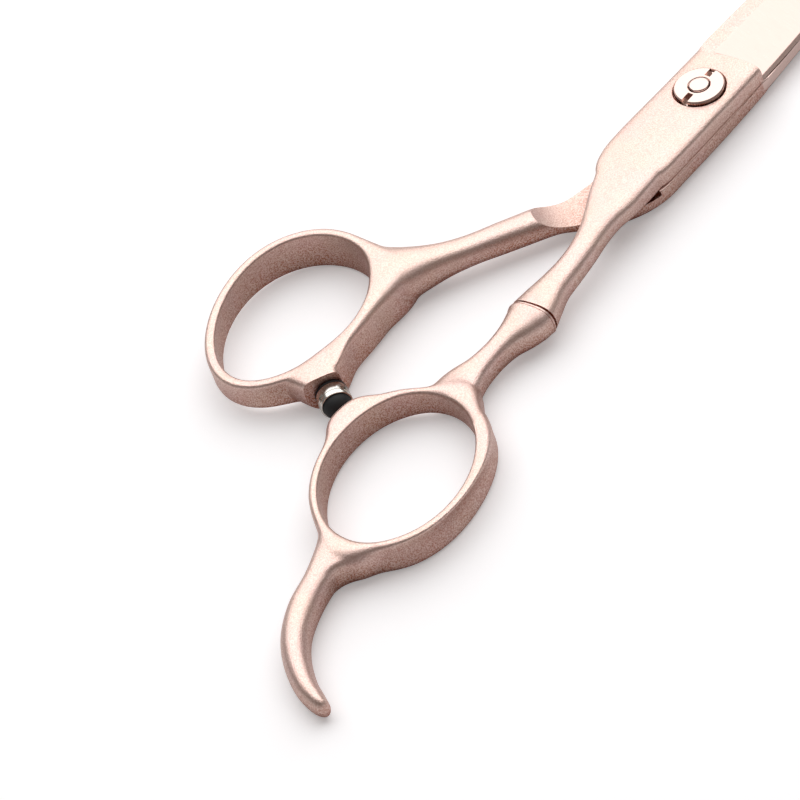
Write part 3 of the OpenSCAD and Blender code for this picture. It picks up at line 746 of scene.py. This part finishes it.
class SHEARS_OT_finger_handle(bpy.types.Operator):
    """Adds the knuckle, neck, finger ring and finger rest as one casting"""

    bl_idname = "shears.finger_handle"
    bl_label = "Finger Handle"

    def execute(self, context):
        L = Layout(context)
        ring_z = L.finger_ring_h / 2
        band = band_object(
            L.finger_ring, ring_z,
            width=finger_band_w(L),
            height=lambda a: ring_z * (0.92 + 0.08 * math.cos(math.radians(a - 160))),
            # the outer top edge is crisp at the far end and rounded at the neck
            radii=lambda a: (0.3 + float(swell(a, 330, 1.7, 42) + swell(a, 70, 0.8, 50)), 0.28, 0.6, 1.2),
            lean=lambda a: swell(a, 180, 0.6, 50),
            inset=lambda a: 0.0,
            hollow=lambda a: swell(a, 262, 0.8, 38),
        )
        neck = [[*L.at_weld(0.6), L.neck(0)[1], L.weld_hw, L.weld_hh, 2.6, 2.6]]
        for t, y, hw, hh, up in (
            (0.029, -3.02, 3.4, L.weld_hh, 2.6),
            (0.067, -2.98, 3.25, 2.54, 2.7),
            (0.16, -2.8, 2.75, 2.4, 2.8),
            (0.30, -2.4, 1.95, 2.15, 2.8),
            (0.46, -2.1, 1.7, 2.02, 2.8),
            (0.64, -1.85, 1.97, 2.05, 3),
            (0.79, -1.62, 2.77, 2.1, 3.2),
            (0.91, -1.65, 3.25, 2.4, 3.2),
            (1.0, -2.0, 3.55, 2.75, 3.6),
        ):
            x, z = L.neck(t)
            neck.append([x, y, z, hw, hh, up, 2.6])
        usual_rest_l = 21
        f = L.rest_l / usual_rest_l
        x = -L.finger_reach - L.finger_hole_l / 2 * 0.965 - 1.2
        rest = [
            [x + 0.1, -4.6, 2.7, 2.85, 2.7, 4, 2.4],
            [x - 2.3 * f, -5.1, 2.6, 2.35, 2.6, 3.2, 2.4],
            [x - 5.6 * f, -5.75, 2.5, 1.95, 2.38, 2.7, 2.4],
            [x - 9.6 * f, -6.7, 2.4, 2.05, 2.3, 2.4, 2.4],
            [x - 13.4 * f, -8.6, 2.35, 1.95, 2.25, 2.2, 2.2],
            [x - 16.3 * f, -11.2, 2.25, 1.78, 2.15, 2.1, 2.2],
            [x - 18.6 * f, -14.5, 2.1, 1.55, 2.0, 2.1, 2.1],
            [x - 19.7 * f, -17.3, 1.95, 1.25, 1.85, 2.1, 2.1],
            [x - 20.0 * f, -18.9, 1.9, 0.8, 1.4, 2, 2],
            [x - 20.1 * f, -19.35, 1.9, 0.12, 0.3, 2, 2],
        ]
        # fillet between the rest and the outer wall of the ring
        web = [
            [x - 5.1 * f, -6.1, 2.5, 1.25, 2.3, 2.6, 2.4],
            [x - 3.1 * f, -6.45, 2.55, 1.25, 2.4, 2.6, 2.4],
            [x - 1.5, -7.4, 2.55, 1.25, 2.45, 2.6, 2.4],
            [x - 0.2, -8.8, 2.55, 1.2, 2.4, 2.6, 2.4],
            [x + 1.7, -10.4, 2.55, 0.9, 2.2, 2.6, 2.4],
        ]

        def junction(co):
            at_neck = np.exp(-(((co[:, 0] - L.neck_end) / 2.4) ** 2)) * (np.abs(co[:, 1] + 1.5) < 7)
            return at_neck + np.exp(-(((co[:, 0] - x) / 2.4) ** 2)) * (co[:, 1] < 3)

        bars = [
            sweep_object("neck", smooth_stations(neck, 12)),
            sweep_object("rest", smooth_stations(rest, 12)),
            sweep_object("web", smooth_stations(web, 8), 64),
        ]
        obj = fused("finger_handle_casting", [band, *bars], junction)
        # cut back a little behind the weld, where the knuckle's own skin takes over
        mill(obj, (-0.35, -30, -5), (60, 30, 25), L.weld_turn, L.weld)
        combine(obj, self.knuckle(L), "UNION")
        shade(obj, 40)
        finish(obj, "finger_half", ["finger_handle"], [blasted_rose_gold(context)])
        return {"FINISHED"}

    def knuckle(self, L):
        """Bright land beside the groove, a fine turned line, then the skin of the neck."""
        side = np.array([*unit(L.weld_turn - 90), 0.0])
        angle = 2 * math.pi * (np.arange(128) + 0.5) / 128
        rings = []
        # distance towards the pivot and share of the full section
        for d, scale in (
            (0.22, 0.86), (0.22, 0.97), (0.205, 0.99), (0.18, 0.998), (0.0, 1.0), (-0.06, 0.998),
            (-0.09, 0.972), (-0.12, 0.972), (-0.15, 0.998), (-0.3, 1.004), (-0.6, 1.0),
            (-0.9, 0.985), (-1.2, 0.955),
        ):
            t = max(0.03, -d / (L.weld[0] - L.neck_end))
            taper = (t - 0.03) / 0.037
            hw, hh = L.weld_hw - 0.15 * taper, L.weld_hh - 0.04 * taper
            u, v = rounded(scale * hw, scale * hh, 2.6, angle)
            at = np.array([L.at_weld(d)[0], L.weld[1] - 0.2 * d, L.neck(t)[1]])
            rings.append(at + u[:, None] * side + v[:, None] * [0, 0, 1])
        return ring_object("knuckle", rings)


class SHEARS_OT_thumb_handle(bpy.types.Operator):
    """Adds the shank, thumb ring and the silencer's boss as one casting"""

    bl_idname = "shears.thumb_handle"
    bl_label = "Thumb Handle"

    def execute(self, context):
        L = Layout(context)
        mid, ring_z = L.thumb_mid, L.thumb_ring_h / 2
        band = band_object(
            L.thumb_ring, ring_z,
            width=thumb_band_w,
            height=lambda a: ring_z * (0.82 + 0.18 * math.cos(math.radians(a - 335)))
            + float(swell(a, 239, 0.45, 16)),
            radii=lambda a: (0.45 + float(swell(a, 310, 1.6, 34) + swell(a, 60, 0.4, 50)), 0.28, 0.6, 1.2),
            lean=lambda a: swell(a, 180, 0.3, 60),
            inset=lambda a: swell(a, 308, 0.4, 22),
            hollow=lambda a: swell(a, 215, 0.25, 30),
        )
        back = L.scoop - 1.5 * unit(L.scoop_dir)
        shank = [
            [*back, mid + 1.55, 2.2, 2.05, 2.6, 2.5],
            [*L.scoop, mid + 1.55, 2.2, 2.05, 2.6, 2.5],
        ]
        for t, z, hw, hh, up in (
            (0.24, mid + 1.6, 2.1, 2.05, 2.6),
            (0.46, mid + 1.7, 2.0, 2.0, 2.6),
            (0.645, mid + 1.75, 2.2, 2.3, 2.7),
            (0.795, ring_z + 0.05, 2.85, 2.8, 2.7),
            (0.92, ring_z, 3.8, 3.15, 2.8),
            (1.0, ring_z, 4.5, 3.36, 3),
        ):
            shank.append([*L.shank(t), z, hw, hh, up, 2.5])
        boss = [
            [*L.boss(s, t), z, hw, hh, up, low]
            for s, t, z, hw, hh, up, low in (
                (4.2, 1.35, ring_z, 4.2, 2.4, 3.6, 2.4),
                (2.8, 1.15, ring_z, 3.65, 2.85, 4.2, 2.4),
                (1.4, 0.9, ring_z + 0.05, 3.05, 2.95, 4.8, 2.3),
                (0, 0.5, ring_z + 0.1, 2.5, 2.95, 5, 2.2),
                (-0.6, 0.4, ring_z + 0.1, 2.4, 2.95, 5, 2.2),
            )
        ]
        root = L.boss(2.6, 0.9)

        def junction(co):
            at_shank = np.hypot(co[:, 0] - L.shank_end[0], co[:, 1] - L.shank_end[1])
            at_boss = np.hypot(co[:, 0] - root[0], co[:, 1] - root[1])
            return np.exp(-((at_shank / 5.0) ** 2)) + np.exp(-((at_boss / 3.0) ** 2))

        bars = [
            sweep_object("shank", smooth_stations(shank, 12)),
            sweep_object("boss", smooth_stations(boss, 6)),
        ]
        obj = fused("thumb_handle_casting", [band, *bars], junction)
        # cut off at the weld, and flat at the end of the boss for the silencer
        mill(obj, (-60, -60, -5), (0, 60, 25), L.scoop_dir, L.scoop)
        mill(obj, (0, -4.6, -1), (2.5, 4.6, 9), L.foot_dir, L.foot)
        shade(obj, 40)
        finish(obj, "thumb_half", ["thumb_handle"], [blasted_rose_gold(context)])
        return {"FINISHED"}


def place_at_foot(obj, L):
    """Turns an upright piece so its +Z points from the thumb ring to the finger ring."""
    turned = Matrix.Rotation(math.radians(L.foot_dir), 4, "Z") @ Matrix.Rotation(math.radians(90), 4, "Y")
    shift = Matrix.Translation(Vector((L.foot[0], L.foot[1], L.foot_z)) * MM)
    obj.data.transform(shift @ turned)


# ---------------------------------------------------------------- pivot and silencer


class SHEARS_OT_tension_nut(bpy.types.Operator):
    """Adds the polished tension nut with its two key slots"""

    bl_idname = "shears.tension_nut"
    bl_label = "Tension Nut"

    def execute(self, context):
        low, high = (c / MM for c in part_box("tension_nut"))
        r, z0, z1 = high.x, low.z, high.z
        hole = 1.55
        profile = [
            [hole, z0], [r - 0.1, z0], [r, z0 + 0.1], [r, z1 - 0.22], [r - 0.05, z1 - 0.12],
            [r - 0.13, z1 - 0.05], [r - 0.24, z1 - 0.02], [r * 0.7, z1 - 0.005], [hole + 0.25, z1],
            [hole + 0.12, z1 - 0.02], [hole, z1 - 0.12],
        ]
        obj = lathe_object("tension_nut_polished", profile, 192)
        inner, outer, half_w, deep = 1.95, 9, 0.475, 0.8
        for x0, x1 in ((inner, outer), (-outer, -inner)):
            mill(obj, (x0, -half_w, z1 - deep), (x1, half_w, z1 + 2), 0)
        shade(obj, 24)
        finish(obj, "nut", ["tension_nut"], [polished_rose_gold(context)])
        return {"FINISHED"}


class SHEARS_OT_pivot_bolt(bpy.types.Operator):
    """Adds the pivot bolt: head, round shank and domed threaded end"""

    bl_idname = "shears.pivot_bolt"
    bl_label = "Pivot Bolt"

    def execute(self, context):
        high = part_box("pivot_bolt")[1] / MM
        r, top = high.x, high.z
        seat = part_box("tension_spring")[0].z / MM - 0.005
        head, shank_r, root, crest, pitch = 0.9, 2.0, 1.36, 1.49, 0.35
        profile = [
            [0, 0], [r - 0.25, 0], [r - 0.06, 0.06], [r, 0.22], [r, head], [shank_r, head],
            [shank_r, seat - 0.05], [1.38, seat - 0.05],
        ]
        for z in np.arange(seat, top - 0.62, pitch):
            profile += [[root, z], [crest, z + pitch * 0.45], [crest, z + pitch * 0.55]]
        profile += [
            [1.44, top - 0.42], [1.44, top - 0.20], [1.36, top - 0.10], [1.22, top - 0.045],
            [0.8, top - 0.012], [0, top],
        ]
        obj = lathe_object("pivot_bolt_turned", profile)
        shade(obj)
        finish(obj, "thumb_half", ["pivot_bolt"], [polished_rose_gold(context)])
        return {"FINISHED"}


class SHEARS_OT_pivot_inner(bpy.types.Operator):
    """Finishes the bushing, washer and spring inside the pivot and the silencer's screw"""

    bl_idname = "shears.pivot_inner"
    bl_label = "Pivot Inner Parts"

    def execute(self, context):
        for node, material in (
            ("pivot_bushing", turned_bronze()),
            ("glide_washer", moulded_acetal()),
            ("tension_spring", spring_steel("spring_steel")),
            ("silencer_screw", spring_steel("screw_steel")),
        ):
            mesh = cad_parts[node].data
            mesh.materials.clear()
            mesh.materials.append(material)
        return {"FINISHED"}


class SHEARS_OT_silencer(bpy.types.Operator):
    """Adds the rubber pad and bright sleeve of the silencer"""

    bl_idname = "shears.silencer"
    bl_label = "Silencer"

    def execute(self, context):
        L = Layout(context)
        r, end = L.sleeve_d / 2, L.pad_back + L.sleeve_l
        back_r, core_r, front_r = r - 0.05, r - 0.62, L.pad_front_r
        hole, hole_deep = 0.75, 2.0
        pad = [
            [hole, 0.02], [back_r - 0.1, 0.02], [back_r, 0.08], [back_r, L.pad_back - 0.06],
            [back_r - 0.05, L.pad_back - 0.01], [core_r, L.pad_back - 0.01], [core_r, end - 0.5],
            [front_r, end - 0.48], [front_r, end],
        ]
        for cos, sin in (unit(a) for a in range(6, 90, 6)):
            pad.append([front_r * cos, end + L.pad_front * sin])
        pad += [[0, L.pad_l], [0, hole_deep], [hole, hole_deep]]
        obj = lathe_object("silencer_pad_rubber", pad)
        place_at_foot(obj, L)
        shade(obj)
        finish(obj, "thumb_half", ["silencer_pad"], [moulded_rubber(context)])
        bore, mouth, line = r - 0.6, r - 0.29, r - 0.07
        sleeve = [
            [bore, L.pad_back], [r - 0.14, L.pad_back], [r - 0.04, L.pad_back + 0.04],
            [r, L.pad_back + 0.14], [r, end - 0.84], [line, end - 0.8], [line, end - 0.72],
            [r, end - 0.68], [r, end - 0.12], [r - 0.04, end - 0.03], [r - 0.12, end],
            [mouth + 0.05, end], [mouth, end - 0.04], [mouth, end - 0.5], [bore, end - 0.5],
        ]
        obj = lathe_object("silencer_sleeve_plated", sleeve, 160)
        for k in range(4):
            mill(obj, (r - 0.22, -0.45, end - 1.25), (r + 1, 0.45, end - 0.45), 45 + 90 * k)
        place_at_foot(obj, L)
        shade(obj)
        finish(obj, "thumb_half", ["silencer_sleeve"], [bright_plating(context)])
        return {"FINISHED"}


# ---------------------------------------------------------------- materials

METAL = {"Metallic": 1.0}


def add(tree, kind, settings=None, links=None):
    """Adds a node with its settings and links; links are input: (node, output)."""
    node = tree.nodes.new("ShaderNode" + kind)
    for key, value in (settings or {}).items():
        if key.startswith("."):
            setattr(node, key[1:], value)
        else:
            node.inputs[int(key) if key.isdigit() else key].default_value = value
    for key, (source, output) in (links or {}).items():
        tree.links.new(source.outputs[output], node.inputs[int(key) if key.isdigit() else key])
    return node


def once(make):
    """Makes a material the first time, and gives the same one afterwards."""
    return lambda context: bpy.data.materials.get(make.__name__) or make(context)


def new_material(name):
    """Empty node material, and the link that lays a texture out in the object's own metres."""
    material = bpy.data.materials.new(name)
    material.use_nodes = True
    tree = material.node_tree
    tree.nodes.clear()
    return material, tree, {"Vector": (add(tree, "TexCoord"), "Object")}


def rgba(values, share=1.0):
    """Colour with full alpha, darkened to a share of itself."""
    return (*(c * share for c in values), 1.0)


def surface(tree, base, tint, rough, bump):
    """Joins tone, roughness and relief in the material's shader."""
    links = {"Base Color": (tint, 2), "Roughness": (rough, "Result"), "Normal": (bump, "Normal")}
    shader = add(tree, "BsdfPrincipled", base, links)
    add(tree, "OutputMaterial", links={"Surface": (shader, "BSDF")})


def even_finish(tree, pattern, tones, rough, relief, base, height=None):
    """Finish whose tone and roughness follow one fine pattern, as its relief does unless given a height.

    tones and rough are each a pair, and relief is strength and depth in metres.
    """
    mix = {".data_type": "RGBA", "6": tones[0], "7": tones[1]}
    tint = add(tree, "Mix", mix, {"0": (pattern, "Fac")})
    spread = {"To Min": rough[0], "To Max": rough[1]}
    rough = add(tree, "MapRange", spread, {"Value": (pattern, "Fac")})
    depth = {"Strength": relief[0], "Distance": relief[1]}
    bump = add(tree, "Bump", depth, {"Height": (height or pattern, "Fac")})
    surface(tree, base, tint, rough, bump)


def cloudy(name, scale, tones, rough, relief, base):
    """Material whose finish follows a fine cloud of the given scale per metre."""
    material, tree, laid_out = new_material(name)
    cloud = add(tree, "TexNoise", {"Scale": scale, "Detail": 3.0}, laid_out)
    even_finish(tree, cloud, tones, rough, relief, base)
    return material


@once
def blasted_rose_gold(context):
    """Coated steel, fine bead-blasted: soft sheen broken up by sparkling grain, with painted shade deepening
    the colour in hollows.
    """
    sizes, tones = context.scene.shears_sizes, context.scene.shears_colours
    material, tree, laid_out = new_material("blasted_rose_gold")
    # real grain is a few hundredths of a millimetre, so it is drawn coarser to show
    grain_set = {"Scale": 1 / sizes.grain, "Detail": 2.0, "Roughness": 0.6}
    grain = add(tree, "TexNoise", grain_set, laid_out)
    cloud = add(tree, "TexNoise", {"Scale": 220.0, "Detail": 2.0}, laid_out)
    # painted shade: shut-in places are drawn deeper in colour than the lights alone make them
    open_to = add(tree, "AmbientOcclusion", {".samples": 8, "Distance": 0.012})
    hollow = add(
        tree, "MapRange",
        {"From Min": 0.3, "From Max": 0.95, "To Min": 0.6, "To Max": 0.0},
        {"Value": (open_to, "AO")},
    )
    # specks on the flats, and in the hollows stronger specks that are part of the painted shade
    speck, speck_in_painted_shade = (
        add(
            tree, "MapRange",
            {"From Min": 0.4, "From Max": 0.6, "To Min": at_pits, "To Max": at_peaks},
            {"Value": (grain, "Fac")},
        )
        for at_pits, at_peaks in ((0.26, 0.0), (1.7, 0.5))
    )
    # painted shade in hollows, with grain in it, added to the specks of the grain
    grain_and_painted_shade = add(
        tree, "Math",
        {".operation": "MULTIPLY_ADD", ".use_clamp": True},
        {"0": (hollow, "Result"), "1": (speck_in_painted_shade, "Result"), "2": (speck, "Result")},
    )
    # the deep tone is the grain's own colour and also the painted shade in hollows
    mix = {".data_type": "RGBA", "6": rgba(tones.rose), "7": rgba(tones.rose_deep)}
    tint = add(tree, "Mix", mix, {"0": (grain_and_painted_shade, "Value")})
    clouded = add(
        tree, "Mix",
        {".data_type": "RGBA", ".blend_type": "MULTIPLY", "0": 0.08},
        {"6": (tint, 2), "7": (cloud, "Color")},
    )
    rough = add(
        tree, "MapRange",
        {"From Min": 0.3, "From Max": 0.7, "To Min": 0.44, "To Max": 0.34},
        {"Value": (grain, "Fac")},
    )
    bump = add(tree, "Bump", {"Strength": 1.0, "Distance": 0.00006}, {"Height": (grain, "Fac")})
    surface(tree, METAL, clouded, rough, bump)
    return material


@once
def ground_rose_gold(context):
    """Coated steel, fine ground and buffed: paler and smoother than blasted, with faint grinding lines."""
    pale = context.scene.shears_colours.rose_pale
    material, tree, laid_out = new_material("ground_rose_gold")
    # lines across the blade, about 0.1 mm apart and 2 mm long
    stretch = add(tree, "Mapping", {"Scale": (9000.0, 500.0, 500.0)}, laid_out)
    lines = add(tree, "TexNoise", {"Scale": 1.0, "Detail": 3.0}, {"Vector": (stretch, "Vector")})
    tones = rgba(pale, 0.93), rgba(pale)
    even_finish(tree, lines, tones, (0.34, 0.24), (0.08, 0.00001), METAL)
    return material


@once
def polished_rose_gold(context):
    """Coated steel, polished: clear reflections with hairline turning marks."""
    colours = context.scene.shears_colours
    material, tree, laid_out = new_material("polished_rose_gold")
    marks = add(
        tree, "TexWave",
        {".wave_type": "RINGS", ".rings_direction": "Z", "Scale": 4000.0, "Distortion": 1.5, "Detail": 2.0},
        laid_out,
    )
    cloud = add(tree, "TexNoise", {"Scale": 2500.0, "Detail": 3.0}, laid_out)
    tones = rgba(colours.rose, 0.9), rgba(colours.rose_pale)
    even_finish(tree, cloud, tones, (0.13, 0.22), (0.05, 0.00001), METAL, marks)
    return material


def blade_materials(context):
    """Blasted skin and ground faces of a blade."""
    return [blasted_rose_gold(context), ground_rose_gold(context)]


def bright_plating(context):
    """Nickel-plated steel, buffed: bright, and faintly clouded."""
    sleeve = context.scene.shears_colours.sleeve
    tones = rgba(sleeve, 0.88), rgba(sleeve)
    return cloudy("bright_nickel_plating", 3000.0, tones, (0.12, 0.24), (0.06, 0.00001), METAL)


def moulded_rubber(context):
    """Black rubber, moulded: dull, with a fine skin and a little dust."""
    rubber = context.scene.shears_colours.rubber
    tones = rgba(rubber), rgba([c * 2.4 + 0.004 for c in rubber])
    return cloudy("moulded_rubber", 6000.0, tones, (0.6, 0.78), (0.2, 0.00002), {"IOR": 1.52})


def turned_bronze():
    """Bronze, machined: warm, satin."""
    tones = rgba(linear("#8E6A3C")), rgba(linear("#B98F55"))
    return cloudy("turned_bronze", 1800.0, tones, (0.3, 0.45), (0.1, 0.00001), METAL)


def spring_steel(name):
    """Plain steel strip or wire, drawn: grey, satin."""
    tones = rgba(linear("#8F9296")), rgba(linear("#C2C4C8"))
    return cloudy(name, 2200.0, tones, (0.25, 0.4), (0.1, 0.00001), METAL)


def moulded_acetal():
    """Acetal, moulded: off-white, waxy."""
    material, tree, laid_out = new_material("moulded_acetal")
    cloud = add(tree, "TexNoise", {"Scale": 1500.0, "Detail": 2.0}, laid_out)
    mix = {".data_type": "RGBA", "6": rgba(linear("#DAD6CB")), "7": rgba(linear("#EFEDE6"))}
    tint = add(tree, "Mix", mix, {"0": (cloud, "Fac")})
    shader = add(tree, "BsdfPrincipled", {"Roughness": 0.45, "IOR": 1.48}, {"Base Color": (tint, 2)})
    add(tree, "OutputMaterial", links={"Surface": (shader, "BSDF")})
    return material


def studio_floor(context):
    """Matte card, pale: shows as near white to the camera and keeps the shadow."""
    backdrop = context.scene.shears_colours.backdrop
    material, tree, laid_out = new_material("pale_card")
    fibre = add(tree, "TexNoise", {"Scale": 400.0, "Detail": 2.0}, laid_out)
    mix = {".data_type": "RGBA", "6": rgba(backdrop, 0.985), "7": rgba(backdrop)}
    tint = add(tree, "Mix", mix, {"0": (fibre, "Fac")})
    diffuse = add(tree, "BsdfDiffuse", links={"Color": (tint, 2)})
    glow = add(tree, "Emission", {"Color": (1, 1, 1, 1), "Strength": 0.28})
    both = add(tree, "AddShader", links={"0": (diffuse, "BSDF"), "1": (glow, "Emission")})
    path = add(tree, "LightPath")
    pick = add(
        tree, "MixShader",
        links={"0": (path, "Is Camera Ray"), "1": (diffuse, "BSDF"), "2": (both, "Shader")},
    )
    add(tree, "OutputMaterial", links={"Surface": (pick, "Shader")})
    return material


# ---------------------------------------------------------------- stage


class SHEARS_OT_stage(bpy.types.Operator):
    """Adds the floor, the room, the softbox and the camera"""

    bl_idname = "shears.stage"
    bl_label = "Stage"

    def execute(self, context):
        scene = context.scene
        self.floor(context)
        scene.world = self.room()
        self.softbox(scene)
        scene.camera = self.camera(scene)
        scene.view_settings.view_transform = "Standard"
        return {"FINISHED"}

    def floor(self, context):
        """Large pale card just under the shears."""
        r = 1500
        floor = make_object("floor", [[-r, -r, 0], [r, -r, 0], [r, r, 0], [-r, r, 0]], [[0, 1, 2, 3]])
        floor.location.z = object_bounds()[0][2] - 0.00002
        floor.data.materials.append(studio_floor(context))
        floor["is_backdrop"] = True

    def room(self):
        """White to the camera, and a dim warm room to everything else."""
        world = bpy.data.worlds.new("studio")
        world.use_nodes = True
        tree = world.node_tree
        tree.nodes.clear()
        path = add(tree, "LightPath")
        seen = add(tree, "Background", {"Color": (1, 1, 1, 1), "Strength": 1.0})
        room = add(tree, "Background", {"Color": rgba(linear("#F6EAE4")), "Strength": 0.24})
        pick = add(
            tree, "MixShader",
            links={"0": (path, "Is Camera Ray"), "1": (room, "Background"), "2": (seen, "Background")},
        )
        add(tree, "OutputWorld", links={"Surface": (pick, "Shader")})
        return world

    def softbox(self, scene):
        """One very large softbox behind and above, seen in the flat tops and the ground bevels."""
        middle, distance = Vector((-0.035, 0.005, 0.0)), 0.85
        lamp = bpy.data.lights.new("softbox", "AREA")
        lamp.shape = "RECTANGLE"
        lamp.size, lamp.size_y = 1.7, 1.3
        lamp.energy = 11.8
        obj = bpy.data.objects.new("softbox", lamp)
        scene.collection.objects.link(obj)
        obj.location = middle + distance * Vector((0.42, 0.35, 0.84)).normalized()
        obj.rotation_euler = (middle - obj.location).to_track_quat("-Z", "Y").to_euler()

    def camera(self, scene):
        """Long lens, looking down at 45 degrees from behind the rings, with the nut at the upper right."""
        camera = bpy.data.cameras.new("view")
        camera.lens = 144.0
        camera.sensor_width = 36.0
        camera.clip_start, camera.clip_end = 0.01, 10.0
        azimuth, elevation, roll = (math.radians(v) for v in (36.2, 45.0, -20.0))
        across = Vector((math.cos(azimuth), -math.sin(azimuth), 0))
        ahead = Vector((math.sin(azimuth), math.cos(azimuth), 0))
        upward = ahead * math.sin(elevation) + Vector((0, 0, math.cos(elevation)))
        back = -ahead * math.cos(elevation) + Vector((0, 0, math.sin(elevation)))
        right = across * math.cos(roll) + upward * math.sin(roll)
        up = -across * math.sin(roll) + upward * math.cos(roll)
        # the pivot, level with the nut's face, lies this far from the middle of the view
        pivot, to_right, to_top, distance = Vector((0, 0, 0.0072)), 0.0415278, 0.04375, 0.4444444
        place = pivot - right * to_right - up * to_top + back * distance
        obj = bpy.data.objects.new("view", camera)
        scene.collection.objects.link(obj)
        obj.matrix_world = Matrix.Translation(place) @ Matrix((right, up, back)).transposed().to_4x4()
        return obj


class SHEARS_PT_panel(bpy.types.Panel):
    """Lists what builds the shears"""

    bl_label = "Shears"
    bl_idname = "SHEARS_PT_panel"
    bl_space_type = "VIEW_3D"
    bl_region_type = "UI"
    bl_category = "Shears"

    def draw(self, context):
        layout = self.layout
        for group in (context.scene.shears_sizes, context.scene.shears_colours):
            for name in group.__annotations__:
                layout.prop(group, name)
        for operator in OPERATORS:
            layout.operator(operator.bl_idname)


OPERATORS = (
    SHEARS_OT_finger_blade,
    SHEARS_OT_thumb_blade,
    SHEARS_OT_finger_handle,
    SHEARS_OT_thumb_handle,
    SHEARS_OT_tension_nut,
    SHEARS_OT_pivot_bolt,
    SHEARS_OT_pivot_inner,
    SHEARS_OT_silencer,
    SHEARS_OT_stage,
)
CLASSES = (ShearsSizes, ShearsColours, *OPERATORS, SHEARS_PT_panel)


def register():
    """Makes the sizes, colours, operators and panel known to Blender."""
    for cls in CLASSES:
        bpy.utils.register_class(cls)
    bpy.types.Scene.shears_sizes = PointerProperty(type=ShearsSizes)
    bpy.types.Scene.shears_colours = PointerProperty(type=ShearsColours)


def unregister():
    """Takes them out again."""
    del bpy.types.Scene.shears_colours
    del bpy.types.Scene.shears_sizes
    for cls in reversed(CLASSES):
        bpy.utils.unregister_class(cls)


def main():
    """Builds every piece and the stage."""
    register()
    for operator in OPERATORS:
        getattr(bpy.ops.shears, operator.bl_idname.split(".")[1])()


if __name__ == "__main__":
    main()
